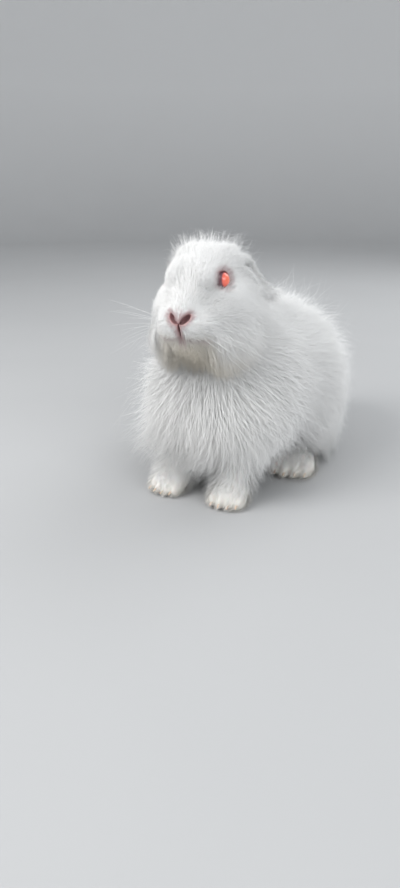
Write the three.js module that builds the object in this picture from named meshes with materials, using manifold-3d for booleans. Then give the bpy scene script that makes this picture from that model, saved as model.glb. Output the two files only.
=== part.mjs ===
// An angora rabbit, life size, sitting on all four feet with its ears laid back.
// Millimetres, +Z up, the floor is z = 0. The rabbit faces -Y and its left side is +X.
import * as THREE from "three";
import { mergeVertices } from "three/addons/utils/BufferGeometryUtils.js";
import Module from "manifold-3d";

const wasm = await Module();
wasm.setup();

// Driving dimensions.
const TRUNK = 236; // breast to rump, without wool
const HEAD = 104; // nose to the back of the skull, with its short fur
const HEAD_PITCH = 10; // degrees that the line of the mouth dips below level
const HEAD_YAW = 4; // degrees that the face turns to the rabbit's left
const EAR_LENGTH = 104;
const EAR_WIDTH = 29; // rolled up, as it is when laid back
const EAR_THICKNESS = 3.4;
const EYE_RADIUS = 9.6;
const FOREPAW = 50; // length of a forepaw
const HIND_FOOT = 128; // heel to toe
const TAIL = 58;
const CLAW = 9;
const WOOL = 29; // how far the wool stands off the trunk
const HAUNCH_WOOL = 24;
const NECK_WOOL = 25;
const CHEEK_WOOL = 18;
const TAIL_WOOL = 15;
const WOOL_LIFT = 3; // the wool ends this far above the floor
const CORE_SHARE = 0.38; // how much of that depth is a solid core under the locks
const LOCK_LENGTH = 62;
const LOCK_WIDTH = 29;
const LOCK_THICKNESS = 4.6;
const LOCK_SPACING = 28; // between the roots of neighbouring locks
const ROOT_SINK = 4; // how far a root goes into the core
const GAP = 0.3; // left between pieces that touch

// Colours.
const WOOL_WHITE = 0xf5f3ef;
const FUR_WHITE = 0xf7f6f3;
const PAW_WHITE = 0xf3efe6;
const EYE_RED = 0xc8362c;
const EAR_PINK = 0xf0d9d2;
const CLAW_HORN = 0xe6d3bd;

// Small helpers.
const point = (x, y, z) => new THREE.Vector3(x, y, z);
const { clamp, degToRad, lerp } = THREE.MathUtils;
const across = (p) => point(-p.x, p.y, p.z); // the same place on the other side
const SIDES = [
  { name: "left", sign: 1 },
  { name: "right", sign: -1 },
];
const trunkPoint = (x, y, z) => point(x, y, z).multiplyScalar(TRUNK);
const headPoint = (x, y, z) => point(x, y, z).multiplyScalar(HEAD);

// Distances to a shape, negative inside it.
function ellipsoid(centre, radii) {
  return (p) => {
    const q = p.clone().sub(centre).divide(radii);
    const scaled = q.length();
    const slope = q.divide(radii).length();
    return slope < 1e-9 ? -Math.min(...radii.toArray()) : (scaled * (scaled - 1)) / slope;
  };
}

function limb(from, fromRadius, to, toRadius) {
  const along = to.clone().sub(from);
  return (p) => {
    const t = clamp(p.clone().sub(from).dot(along) / along.lengthSq(), 0, 1);
    return p.distanceTo(from.clone().addScaledVector(along, t)) - lerp(fromRadius, toRadius, t);
  };
}

const blend = (softness, shapes) => (p) =>
  -softness * Math.log(shapes.reduce((sum, shape) => sum + Math.exp(-shape(p) / softness), 0));
const otherSide = (shape) => (p) => shape(across(p));
const bothSides = (shape) => [shape, otherSide(shape)];
const sideOf = (shape, sign) => (sign > 0 ? shape : otherSide(shape));
function slopeOf(shape, p) {
  const step = 0.5;
  const along = (x, y, z) =>
    shape(point(p.x + x, p.y + y, p.z + z)) - shape(point(p.x - x, p.y - y, p.z - z));
  return point(along(step, 0, 0), along(0, step, 0), along(0, 0, step)).normalize();
}

// The trunk: rump, loin, ribs, breast and shoulders, in trunk lengths.
const trunkShape = blend(9, [
  ellipsoid(trunkPoint(0, 0.38, 0.37), trunkPoint(0.265, 0.27, 0.31)),
  ellipsoid(trunkPoint(0, 0.12, 0.41), trunkPoint(0.26, 0.34, 0.3)),
  ellipsoid(trunkPoint(0, -0.16, 0.47), trunkPoint(0.21, 0.26, 0.28)),
  ellipsoid(trunkPoint(0, -0.29, 0.48), trunkPoint(0.16, 0.15, 0.21)),
  ...bothSides(ellipsoid(trunkPoint(0.13, -0.21, 0.44), trunkPoint(0.1, 0.16, 0.2))),
]);
const TRUNK_ROUTE = [trunkPoint(0, 0.38, 0.39), trunkPoint(0, 0.1, 0.43), trunkPoint(0, -0.27, 0.48)];

const NECK_BASE = trunkPoint(0, -0.2, 0.6);
const NECK_TOP = trunkPoint(0, -0.37, 0.81);
const neckShape = limb(NECK_BASE, TRUNK * 0.18, NECK_TOP, TRUNK * 0.145);

const haunchShape = ellipsoid(trunkPoint(0.215, 0.25, 0.315), trunkPoint(0.13, 0.26, 0.25));
const HAUNCH_INSIDE = TRUNK * 0.11; // how near the middle a haunch reaches
const HAUNCH_ROUTE = [trunkPoint(0.215, 0.33, 0.31), trunkPoint(0.215, 0.16, 0.31)];

// The head, in head lengths, level and facing -Y until it is placed.
const HEAD_AT = trunkPoint(0, -0.455, 0.9);
const headPlace = new THREE.Matrix4()
  .makeTranslation(HEAD_AT)
  .multiply(new THREE.Matrix4().makeRotationZ(degToRad(HEAD_YAW)))
  .multiply(new THREE.Matrix4().makeRotationX(degToRad(HEAD_PITCH)));
const headForms = [
  ellipsoid(headPoint(0, 0.08, 0.13), headPoint(0.26, 0.31, 0.24)),
  ...bothSides(ellipsoid(headPoint(0.15, 0.17, 0.26), headPoint(0.11, 0.14, 0.11))),
  limb(headPoint(0, -0.03, 0.14), HEAD * 0.2, headPoint(0, -0.34, -0.02), HEAD * 0.13),
  ellipsoid(headPoint(0, -0.42, -0.07), headPoint(0.105, 0.1, 0.1)),
  ...bothSides(ellipsoid(headPoint(0.11, -0.35, -0.14), headPoint(0.165, 0.16, 0.14))),
  limb(headPoint(0, -0.33, -0.28), HEAD * 0.12, headPoint(0, 0.02, -0.24), HEAD * 0.18),
  ...bothSides(ellipsoid(headPoint(0.2, 0, -0.11), headPoint(0.2, 0.3, 0.27))),
  ...bothSides(ellipsoid(headPoint(0.13, -0.06, 0.22), headPoint(0.13, 0.22, 0.12))),
];
const crownForm = ellipsoid(headPoint(0, 0.14, 0.27), headPoint(0.19, 0.24, 0.17)); // longer fur
const headShape = blend(3.2, headForms);
const furredHeadShape = blend(3.2, [...headForms, crownForm]);
const HEAD_ROUTE = [headPoint(0, 0.12, 0.06), headPoint(0, -0.12, 0.0), headPoint(0, -0.36, -0.11)];
const EYE_AT = headPoint(0.2, -0.06, 0.185);
const EYE_GAZE = point(0.93, -0.33, 0.12).normalize();
const EAR_ROOT = headPoint(0.16, 0.27, 0.2);

// Legs. A paw's lengths run forwards from its heel.
const ELBOW = trunkPoint(0.15, -0.27, 0.35);
const WRIST = trunkPoint(0.14, -0.41, 0.115);
const forelegShape = limb(ELBOW, TRUNK * 0.085, WRIST, TRUNK * 0.062);
const FOREPAW_HEEL = point(WRIST.x, WRIST.y + FOREPAW * 0.26, 0);
const HIND_HEEL = point(TRUNK * 0.225, TRUNK * 0.41, 0);

function pawFrame(heel, splay, length) {
  const turn = new THREE.Matrix4().makeRotationZ(degToRad(splay));
  return (sideways, forwards, up) =>
    point(sideways, -forwards, up).multiplyScalar(length).applyMatrix4(turn).add(heel);
}

const FOREPAW_SPLAY = 6;
const HIND_SPLAY = 8;
const forepawPoint = pawFrame(FOREPAW_HEEL, FOREPAW_SPLAY, FOREPAW);
const hindPoint = pawFrame(HIND_HEEL, HIND_SPLAY, HIND_FOOT);
const FORE_TOES = [-0.27, -0.09, 0.1, 0.27].map((x, i) => ({
  at: forepawPoint(x, 0.79 - Math.abs(i - 1.4) * 0.06, 0.14),
  size: point(0.125, 0.23, 0.16).multiplyScalar(FOREPAW),
}));
const HIND_TOES = [-0.13, -0.042, 0.05, 0.135].map((x, i) => ({
  at: hindPoint(x, 0.885 - Math.abs(i - 1.2) * 0.028, 0.06),
  size: point(0.06, 0.12, 0.075).multiplyScalar(HIND_FOOT),
}));
const forepawShape = blend(1.6, [
  ellipsoid(forepawPoint(0, 0.46, 0.24), point(0.37, 0.42, 0.27).multiplyScalar(FOREPAW)),
  limb(WRIST, FOREPAW * 0.27, forepawPoint(0, 0.4, 0.26), FOREPAW * 0.25),
  ...FORE_TOES.map((toe) => ellipsoid(toe.at, toe.size)),
]);
const hindFootShape = blend(2.2, [
  limb(hindPoint(0, 0.1, 0.12), HIND_FOOT * 0.115, hindPoint(0, 0.66, 0.09), HIND_FOOT * 0.115),
  ellipsoid(hindPoint(0, 0.72, 0.09), point(0.17, 0.2, 0.1).multiplyScalar(HIND_FOOT)),
  ...HIND_TOES.map((toe) => ellipsoid(toe.at, toe.size)),
]);
const FOREPAW_ROUTE = [forepawPoint(0, 0.2, 0.25), forepawPoint(0, 0.75, 0.17)];
const HIND_ROUTE = [hindPoint(0, 0.1, 0.1), hindPoint(0, 0.88, 0.07)];

const TAIL_ROOT = trunkPoint(0, 0.63, 0.33);
const TAIL_TIP = TAIL_ROOT.clone().add(point(0, TAIL * 0.42, TAIL * 0.66));
const tailShape = limb(TAIL_ROOT, TAIL * 0.15, TAIL_TIP, TAIL * 0.12);

// Solids.
function solidOf(geometry) {
  const bare = geometry.clone();
  bare.deleteAttribute("normal");
  bare.deleteAttribute("uv");
  const merged = mergeVertices(bare, 1e-3);
  const triVerts = new Uint32Array(merged.index.array);
  const mesh = new wasm.Mesh({ numProp: 3, vertProperties: merged.attributes.position.array, triVerts });
  return new wasm.Manifold(mesh);
}

function geometryOf(solid) {
  const mesh = solid.getMesh();
  const geometry = new THREE.BufferGeometry();
  geometry.setAttribute("position", new THREE.BufferAttribute(mesh.vertProperties, mesh.numProp));
  geometry.setIndex(new THREE.BufferAttribute(mesh.triVerts, 1));
  return geometry;
}

// The largest closed surface of a solid, without any hollow inside it.
function largest(solid) {
  const { vertProperties, triVerts } = solid.getMesh();
  const owner = [...Array(vertProperties.length / 3).keys()];
  const top = (i) => (owner[i] === i ? i : (owner[i] = top(owner[i])));
  for (let i = 0; i < triVerts.length; i += 3) {
    owner[top(triVerts[i + 1])] = top(triVerts[i]);
    owner[top(triVerts[i + 2])] = top(triVerts[i]);
  }
  const surfaces = Object.values(Object.groupBy([...triVerts], top)).map((faces) => {
    const mesh = new wasm.Mesh({ numProp: 3, vertProperties, triVerts: Uint32Array.from(faces) });
    return new wasm.Manifold(mesh);
  });
  return surfaces.reduce((best, piece) => (piece.volume() > best.volume() ? piece : best));
}
const cut = (solid, ...cutters) =>
  largest(cutters.reduce((left, cutter) => left.subtract(cutter), solid));

// The point where a ray from inside a shape reaches the given distance from its surface.
function surfacePoint(shape, from, direction, level) {
  const step = 2;
  let far = 0;
  while (shape(from.clone().addScaledVector(direction, far)) < level) far += step;
  let near = far - step;
  for (let i = 0; i < 16; i++) {
    const middle = (near + far) / 2;
    if (shape(from.clone().addScaledVector(direction, middle)) < level) near = middle;
    else far = middle;
  }
  return from.clone().addScaledVector(direction, far);
}

// A sphere whose vertices are moved out from a route to where the shape's distance is level.
function wrap(shape, route, sides, rings, level = 0) {
  const geometry = new THREE.SphereGeometry(1, sides, rings);
  const curve = route.length > 2 ? new THREE.CatmullRomCurve3(route) : new THREE.LineCurve3(...route);
  const along = route.at(-1).clone().sub(route[0]).normalize();
  const turn = new THREE.Quaternion().setFromUnitVectors(point(0, 1, 0), along);
  const spots = geometry.attributes.position;
  for (let i = 0; i < spots.count; i++) {
    const spot = point().fromBufferAttribute(spots, i).normalize();
    const from = curve.getPoint((1 + clamp(spot.y, -1, 1)) / 2);
    const placed = surfacePoint(shape, from, spot.applyQuaternion(turn), level);
    spots.setXYZ(i, ...placed.toArray());
  }
  return solidOf(geometry);
}

function box(low, high) {
  const size = high.clone().sub(low);
  const geometry = new THREE.BoxGeometry(...size.toArray());
  return solidOf(geometry.translate(...low.clone().addScaledVector(size, 0.5).toArray()));
}

const FAR = 400;
const belowFloor = box(point(-FAR, -FAR, -FAR), point(FAR, FAR, 0));
const belowWool = box(point(-FAR, -FAR, -FAR), point(FAR, FAR, WOOL_LIFT));

const leftOf = (solid, sign) => (sign > 0 ? solid : solid.mirror([1, 0, 0]));

// Nodes, in the order that each is cut clear of those before it.
const rabbit = new THREE.Group();
const solids = {};
function addNode(name, solid, colour, roughness) {
  solids[name] = solid;
  const geometry = geometryOf(solid);
  geometry.computeBoundingBox();
  const centre = geometry.boundingBox.getCenter(point());
  geometry.translate(-centre.x, -centre.y, -centre.z);
  geometry.computeVertexNormals();
  const material = new THREE.MeshStandardMaterial({ color: colour, roughness, metalness: 0 });
  const mesh = new THREE.Mesh(geometry, material);
  mesh.name = name;
  mesh.position.copy(centre);
  rabbit.add(mesh);
}

// Eyes.
const EYE_SIDES = 14;
const EYE_RINGS = 10;
const placeOnHead = (geometry) => solidOf(geometry.applyMatrix4(headPlace));
function eyeBall(sign, grow = 0) {
  const ball = new THREE.SphereGeometry(EYE_RADIUS + grow, EYE_SIDES, EYE_RINGS);
  return placeOnHead(ball.translate(EYE_AT.x * sign, EYE_AT.y, EYE_AT.z));
}

function lids(sign) {
  const LID = 1.6;
  const SEAT = 0.62; // how far out of the ball's middle the lids lie, in radii
  const ring = new THREE.TorusGeometry(EYE_RADIUS * Math.sqrt(1 - SEAT ** 2), LID, 6, 18);
  ring.scale(1.08, 0.94, 1);
  const gaze = point(EYE_GAZE.x * sign, EYE_GAZE.y, EYE_GAZE.z);
  ring.lookAt(gaze);
  const seat = point(EYE_AT.x * sign, EYE_AT.y, EYE_AT.z).addScaledVector(gaze, EYE_RADIUS * SEAT);
  return placeOnHead(ring.translate(...seat.toArray()));
}

// Nostrils, the cleft under them and the line of the mouth, as cutters.
function slit(at, size, lean) {
  const geometry = new THREE.SphereGeometry(1, 10, 6);
  geometry.scale(...headPoint(...size).toArray());
  geometry.rotateY(lean);
  return placeOnHead(geometry.translate(...headPoint(...at).toArray()));
}

function mouthLine() {
  const MOUTH_HALF_WIDTH = 0.115;
  const MOUTH_STEPS = 6;
  const spots = [];
  for (let i = -MOUTH_STEPS; i <= MOUTH_STEPS; i++) {
    const share = i / MOUTH_STEPS;
    const from = headPoint(MOUTH_HALF_WIDTH * share, -0.3, -0.15);
    const towards = point(share * 0.5, -1, -0.3 - 0.2 * Math.abs(share)).normalize();
    spots.push(surfacePoint(headShape, from, towards, 0));
  }
  const section = new THREE.Shape().absarc(0, 0, HEAD * 0.009, 0, Math.PI * 2);
  const geometry = new THREE.ExtrudeGeometry(section, {
    extrudePath: new THREE.CatmullRomCurve3(spots),
    steps: MOUTH_STEPS * 2,
    curveSegments: 2,
  });
  return placeOnHead(geometry);
}

const headCore = (level, sides = 30, rings = 20) =>
  wrap(furredHeadShape, HEAD_ROUTE, sides, rings, level).transform(headPlace.elements);
let head = headCore(0);
for (const { sign } of SIDES) {
  head = head.add(lids(sign)).subtract(eyeBall(sign, GAP));
  head = head.subtract(slit([0.04 * sign, -0.51, -0.05], [0.034, 0.03, 0.011], -0.7 * sign));
}
head = head.subtract(slit([0, -0.5, -0.125], [0.008, 0.045, 0.065], 0)).subtract(mouthLine());
const headRoom = headCore(GAP);
for (const { name, sign } of SIDES) addNode(`eye_${name}`, eyeBall(sign), EYE_RED, 0.15);

// A closed body through rings of corners. A ring of one corner is a tip.
function loft(rings) {
  const spots = rings.flat();
  const faces = [];
  const firsts = rings.map((_, i) => rings.slice(0, i).reduce((sum, ring) => sum + ring.length, 0));
  const cap = (ring, first, flip) => {
    for (let i = 0, j = ring.length - 1; i + 1 < j; i++, j--) {
      const quad = [first + i, first + i + 1, first + j - 1, first + j];
      const [a, b, c, d] = flip ? quad.reverse() : quad;
      faces.push([a, b, c], [a, c, d]);
    }
  };
  for (let r = 0; r + 1 < rings.length; r++) {
    const sides = Math.max(rings[r].length, rings[r + 1].length);
    for (let side = 0; side < sides; side++) {
      const next = (side + 1) % sides;
      const [a, b] = [side, next].map((i) => firsts[r] + (i % rings[r].length));
      const [c, d] = [next, side].map((i) => firsts[r + 1] + (i % rings[r + 1].length));
      if (side < sides / 2) faces.push([a, c, b], [a, d, c]);
      else faces.push([a, d, b], [b, d, c]);
    }
  }
  cap(rings[0], 0, false);
  cap(rings.at(-1), firsts.at(-1), true);
  const real = faces.filter(([a, b, c]) => a !== b && b !== c && a !== c);
  const geometry = new THREE.BufferGeometry().setFromPoints(spots);
  geometry.setIndex(real.flat());
  return geometry;
}

// Ears: long cupped leaves, laid back over the neck, open outwards and upwards.
const EAR_RINGS = 10;
const EAR_SWEEPS = 6;
function ear(sign, grow = 0) {
  const root = EAR_ROOT.clone();
  root.x *= sign;
  root.applyMatrix4(headPlace);
  const reach = (x, y, z) => point(x * sign, y, z).multiplyScalar(EAR_LENGTH).add(root);
  const midline = new THREE.CubicBezierCurve3(
    root, reach(0, 0.3, -0.08), reach(0.02, 0.66, -0.28), reach(0.06, 0.95, -0.36));
  const openTowards = point(0.85 * sign, 0, 0.5);
  const rings = [];
  for (let r = 0; r <= EAR_RINGS; r++) {
    const share = r / EAR_RINGS;
    const along = midline.getTangent(share);
    const sideways = along.clone().cross(openTowards).normalize().multiplyScalar(sign);
    const open = openTowards.clone().addScaledVector(along, -openTowards.dot(along)).normalize();
    const curl = lerp(2.4, 1.1, Math.min(1, share * 1.3));
    const taper = Math.sqrt(1 - share ** 4) * 0.97 + 0.03;
    const width = EAR_WIDTH * lerp(0.5, 1, Math.sin(Math.PI * Math.min(1, share * 0.9 + 0.08))) * taper;
    const radius = width / 2 / Math.sin(Math.min(curl, Math.PI / 2));
    const thick = EAR_THICKNESS * lerp(1.1, 0.7, share);
    const corner = (sweep, inset) => {
      const angle = (curl + grow / radius) * ((sweep / EAR_SWEEPS) * 2 - 1);
      return midline.getPoint(share)
        .addScaledVector(sideways, Math.sin(angle) * (radius - inset))
        .addScaledVector(open, radius * 0.7 - Math.cos(angle) * (radius - inset));
    };
    const sweeps = [...Array(EAR_SWEEPS + 1).keys()];
    rings.push([
      ...sweeps.map((i) => corner(i, -grow)),
      ...sweeps.reverse().map((i) => corner(i, thick + grow)),
    ]);
  }
  return outwards(loft(rings));
}

// Turns a mesh the right way round, whichever way its rings ran.
function outwards(geometry) {
  const solid = solidOf(geometry);
  if (solid.volume() > 0) return solid;
  const turned = geometry.clone();
  const faces = [...geometry.index.array];
  for (let i = 0; i < faces.length; i += 3) [faces[i], faces[i + 1]] = [faces[i + 1], faces[i]];
  turned.setIndex(faces);
  return solidOf(turned);
}

for (const { name, sign } of SIDES) addNode(`ear_${name}`, cut(ear(sign), headRoom), EAR_PINK, 0.8);

// Paws and lower legs, flat where they stand.
const paw = (shape, route, sign, grow, sides, rings) =>
  leftOf(wrap(shape, route, sides, rings, grow), sign).subtract(belowFloor);
const forepaw = (sign, grow = 0) => paw(forepawShape, FOREPAW_ROUTE, sign, grow, 18, 12);
const hindFoot = (sign, grow = 0) => paw(hindFootShape, HIND_ROUTE, sign, grow, 16, 14);
const foreleg = (sign, grow = 0) => leftOf(wrap(forelegShape, [ELBOW, WRIST], 10, 7, grow), sign);
function haunchCore(sign, level, grow = 0) {
  const inside = box(point(-FAR, -FAR, -FAR), point(HAUNCH_INSIDE - grow, FAR, FAR));
  const left = wrap(haunchShape, HAUNCH_ROUTE, 14, 9, level + grow).subtract(inside);
  return leftOf(left.subtract(belowWool), sign);
}
const trunkCore = (level) => wrap(trunkShape, TRUNK_ROUTE, 22, 15, level).subtract(belowWool);

function claw(root, forwards) {
  const rings = [];
  for (let r = 0; r <= 2; r++) {
    const share = r / 2;
    const spot = root.clone().addScaledVector(forwards, CLAW * share);
    spot.z = Math.max(GAP * 2, spot.z - CLAW * 0.22 * share * share);
    const radius = CLAW * 0.17 * (1 - share);
    rings.push(share === 1 ? [spot] : [0, 1, 2, 3].map((i) => {
      const angle = (i / 4) * 2 * Math.PI;
      return spot.clone().add(point(Math.cos(angle) * radius, 0, Math.sin(angle) * radius));
    }));
  }
  return outwards(loft(rings));
}

for (const { name, sign } of SIDES) {
  const foreRoom = forepaw(sign, GAP);
  const hindRoom = hindFoot(sign, GAP);
  addNode(`forepaw_${name}`, forepaw(sign), PAW_WHITE, 0.9);
  addNode(`hind_foot_${name}`, hindFoot(sign), PAW_WHITE, 0.9);
  const paws = [
    { toes: FORE_TOES, end: "fore", room: foreRoom, splay: FOREPAW_SPLAY },
    { toes: HIND_TOES, end: "hind", room: hindRoom, splay: HIND_SPLAY },
  ];
  for (const { toes, end, room, splay } of paws) {
    const forwards = point(Math.sin(degToRad(splay)), -1, 0).normalize();
    toes.forEach((toe, i) => {
      const root = toe.at.clone().addScaledVector(forwards, toe.size.y - CLAW * 0.3);
      root.z = toe.at.z + toe.size.z * 0.05;
      const solid = cut(leftOf(claw(root, forwards), sign), room);
      addNode(`claw_${end}_${name}_${i + 1}`, solid, CLAW_HORN, 0.5);
    });
  }
  const upperRoom = trunkCore(WOOL * CORE_SHARE + GAP);
  addNode(`foreleg_${name}`, cut(foreleg(sign), foreRoom, upperRoom), FUR_WHITE, 0.9);
}

// Cores of the woolly parts, and the room that each keeps clear of its neighbours.
const tailRoute = [TAIL_ROOT, TAIL_TIP];
const neckCore = (level) => wrap(neckShape, [NECK_BASE, NECK_TOP], 16, 8, level);
const tailCore = (level) => wrap(tailShape, tailRoute, 10, 7, level);
const footRooms = SIDES.map(({ sign }) => hindFoot(sign, GAP));
const haunchRooms = SIDES.map(({ sign }) => haunchCore(sign, HAUNCH_WOOL * CORE_SHARE, GAP));
const earRooms = SIDES.map(({ sign }) => ear(sign, GAP));
const torsoRoom = trunkCore(WOOL * CORE_SHARE + GAP);
const cores = {
  head: largest(head),
  neck: cut(neckCore(NECK_WOOL * CORE_SHARE), headRoom, torsoRoom, ...earRooms),
  torso: cut(trunkCore(WOOL * CORE_SHARE), ...haunchRooms, ...footRooms),
  tail: cut(tailCore(TAIL_WOOL * CORE_SHARE), torsoRoom),
};
for (const { name, sign } of SIDES) {
  cores[`haunch_${name}`] = cut(haunchCore(sign, HAUNCH_WOOL * CORE_SHARE), hindFoot(sign, GAP));
}

// The coat lies over the whole body: its depth changes evenly from one part to the next.
const fromHead = headPlace.clone().invert();
const placedHead = (p) => headShape(p.clone().applyMatrix4(fromHead));
const coatParts = [
  { shape: placedHead, depth: CHEEK_WOOL },
  { shape: neckShape, depth: NECK_WOOL },
  { shape: trunkShape, depth: WOOL },
  ...bothSides(haunchShape).map((shape) => ({ shape, depth: HAUNCH_WOOL })),
];
const coatShape = blend(8, coatParts.map(({ shape }) => shape));
const SHARING = 12; // how far apart two parts still share the coat's depth
function coatDepth(p) {
  const weights = coatParts.map(({ shape }) => Math.exp(-Math.max(shape(p), 0) / SHARING));
  const total = weights.reduce((sum, weight) => sum + weight, 0);
  return coatParts.reduce((sum, { depth }, i) => sum + (depth * weights[i]) / total, 0);
}

// The coat lies backwards on top, and down at the breast, the sides and the rump.
function coatLie(normal) {
  const lie = point(normal.x * 0.2, 0.8, -0.6 * (1 - normal.z));
  return lie.addScaledVector(normal, -lie.dot(normal)).normalize();
}

// The tail is turned up, and its wool runs to its tip.
function tailLie(normal) {
  const lie = TAIL_TIP.clone().sub(TAIL_ROOT);
  return lie.addScaledVector(normal, -lie.dot(normal)).normalize();
}

// Random numbers from a seed, the same each time.
function drawsFrom(seed) {
  let state = seed;
  return () => {
    state = (state + 0x6d2b79f5) | 0;
    let mixed = Math.imul(state ^ (state >>> 15), state | 1);
    mixed ^= mixed + Math.imul(mixed ^ (mixed >>> 7), mixed | 61);
    return ((mixed ^ (mixed >>> 14)) >>> 0) / 2 ** 32;
  };
}

// Roots spread over a core, none nearer to another than the spacing.
function rootsOn(solid, draw, spacing, accepts) {
  const TRIES = 4000;
  const { vertProperties: spots, triVerts } = solid.getMesh();
  const corner = (i) => point().fromArray(spots, triVerts[i] * 3);
  const faces = [];
  let area = 0;
  for (let i = 0; i < triVerts.length; i += 3) {
    const face = new THREE.Triangle(corner(i), corner(i + 1), corner(i + 2));
    area += face.getArea();
    faces.push({ face, upTo: area });
  }
  const roots = [];
  for (let i = 0; i < TRIES; i++) {
    const target = draw() * area;
    const { face } = faces.find(({ upTo }) => upTo >= target);
    const [u, v] = [Math.sqrt(draw()), draw()];
    const spot = point()
      .addScaledVector(face.a, 1 - u)
      .addScaledVector(face.b, u * (1 - v))
      .addScaledVector(face.c, u * v);
    if (roots.every((root) => root.distanceTo(spot) > spacing) && accepts(spot)) roots.push(spot);
  }
  return roots;
}

// The line of a lock, from its sunk root out to the coat's full depth at its tip.
const LOCK_STEPS = 4;
function lockLine(root, style, kind) {
  const spot = root.clone();
  const start = kind.shape(root) - ROOT_SINK;
  const line = [];
  for (let i = 0; i <= LOCK_STEPS; i++) {
    const share = i / LOCK_STEPS;
    const normal = slopeOf(kind.shape, spot);
    const lift = style.lift * Math.min(1, share * 3);
    const height = lerp(start, kind.depth(spot) * style.reach, share ** 0.8) + lift;
    spot.addScaledVector(normal, height - kind.shape(spot));
    spot.z = Math.max(spot.z, WOOL_LIFT + LOCK_THICKNESS);
    const lie = kind.lie(normal).applyAxisAngle(normal, style.bend * (share - 0.3));
    line.push({ spot: spot.clone(), normal, lie });
    spot.addScaledVector(lie, style.length / LOCK_STEPS);
  }
  return line;
}

// One lock: flat below, ridged on top, widest before its middle and pointed at its tip.
const LOCK_WIDTHS = [0.7, 1, 0.86, 0.5];
const LOCK_THICKNESSES = [1, 1, 0.85, 0.6];
function lock(line, style, grow) {
  const rings = line.slice(0, LOCK_STEPS).map(({ spot, normal, lie }, i) => {
    const side = lie.clone().cross(normal).normalize();
    const half = (style.width * LOCK_WIDTHS[i]) / 2 + grow * 2;
    const thick = style.thickness * LOCK_THICKNESSES[i];
    const under = spot.clone().addScaledVector(normal, -thick * 0.4 - grow);
    return [
      under.clone().addScaledVector(side, -half),
      spot.clone().addScaledVector(normal, thick * 0.6 + grow),
      under.clone().addScaledVector(side, half),
    ];
  });
  const tip = line.at(-1);
  rings.push([tip.spot.clone().addScaledVector(tip.lie, grow * 3)]);
  return outwards(loft(rings));
}

const boxesMeet = (a, b) => [0, 1, 2].every((i) => a.min[i] < b.max[i] && b.min[i] < a.max[i]);
function crosses(solid, others) {
  const bounds = solid.boundingBox();
  const near = others.filter((other) => boxesMeet(bounds, other.boundingBox()));
  return near.some((other) => solid.intersect(other).volume() > 1e-3);
}

// Locks on a core. Each is lifted or shortened until it clears the other nodes, or left out.
const LIFTS = [0, 2.5, 5, 8];
const SHORTER = [1, 0.75, 0.55];
const CLEAR = GAP * 1.8;
const SLIVER = 0.05; // edges shorter than this are closed up
function locksOn(core, kind, others) {
  const draw = drawsFrom(kind.seed);
  const roots = rootsOn(core, draw, LOCK_SPACING * kind.scale, kind.accepts);
  const locks = [];
  for (const root of roots) {
    const style = {
      length: LOCK_LENGTH * kind.scale * lerp(0.86, 1.14, draw()),
      width: LOCK_WIDTH * kind.scale * lerp(0.85, 1.15, draw()),
      thickness: LOCK_THICKNESS * kind.scale ** 0.5,
      bend: lerp(-0.5, 0.5, draw()),
      reach: lerp(0.9, 1.04, draw()),
    };
    const trials = SHORTER.flatMap((share) => LIFTS.map((lift) => ({ share, lift })));
    for (const { share, lift } of trials) {
      const trial = { ...style, lift, length: style.length * share };
      const line = lockLine(root, trial, kind);
      const own = lock(line, trial, 0);
      if (crosses(own, others) || crosses(lock(line, trial, CLEAR), others)) continue;
      locks.push(own);
      break;
    }
  }
  return locks;
}

// Where each part's locks grow.
const bodyKind = { shape: coatShape, depth: coatDepth, lie: coatLie };
const EDGE = 5; // how far inside its own part a root stays
const awayFrom = (spot, parts, edge = EDGE) =>
  parts.every(([shape, depth]) => shape(spot) > depth * CORE_SHARE + edge);
const shapeOfNeck = [neckShape, NECK_WOOL];
const shapeOfTrunk = [trunkShape, WOOL];
const shapeOfHead = [placedHead, 0];
const shapesOfHaunches = bothSides(haunchShape).map((shape) => [shape, HAUNCH_WOOL]);
const onSurface = (spot, [shape, depth]) => Math.abs(shape(spot) - depth * CORE_SHARE) < 2.5;
const notUnder = (spot) => slopeOf(coatShape, spot).z > -0.75;
const CHEEK_FRONT = -0.2; // in head lengths
const CHEEK_TOP = 0.12;
const CHEEK_EDGE = -2; // a cheek's locks may start right beside the ruff
const TAIL_EDGE = 1;
function onCheek(spot) {
  const at = spot.clone().applyMatrix4(fromHead);
  const clearOfEye = Math.hypot(at.y - EYE_AT.y, at.z - EYE_AT.z) > EYE_RADIUS * 1.8;
  return at.y > CHEEK_FRONT * HEAD && at.z < CHEEK_TOP * HEAD && clearOfEye;
}
const kinds = {
  head: {
    ...bodyKind, scale: 0.56, seed: 12,
    accepts: (spot) => onCheek(spot) && awayFrom(spot, [shapeOfNeck, shapeOfTrunk], CHEEK_EDGE),
  },
  neck: {
    ...bodyKind, scale: 0.76, seed: 23,
    accepts: (spot) => onSurface(spot, shapeOfNeck) && awayFrom(spot, [shapeOfHead, shapeOfTrunk]),
  },
  torso: {
    ...bodyKind, scale: 0.88, seed: 38,
    accepts: (spot) =>
      onSurface(spot, shapeOfTrunk) && notUnder(spot) &&
      awayFrom(spot, [shapeOfHead, shapeOfNeck, ...shapesOfHaunches, [tailShape, TAIL_WOOL]]),
  },
  tail: {
    shape: tailShape, depth: () => TAIL_WOOL, lie: tailLie, scale: 0.46, seed: 46,
    accepts: (spot) => awayFrom(spot, [shapeOfTrunk], TAIL_EDGE),
  },
};
SIDES.forEach(({ name, sign }, i) => {
  const own = sideOf(haunchShape, sign);
  kinds[`haunch_${name}`] = {
    ...bodyKind, scale: 0.82, seed: 53 + i,
    accepts: (spot) =>
      onSurface(spot, [own, HAUNCH_WOOL]) && notUnder(spot) && awayFrom(spot, [shapeOfTrunk]),
  };
});

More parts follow.
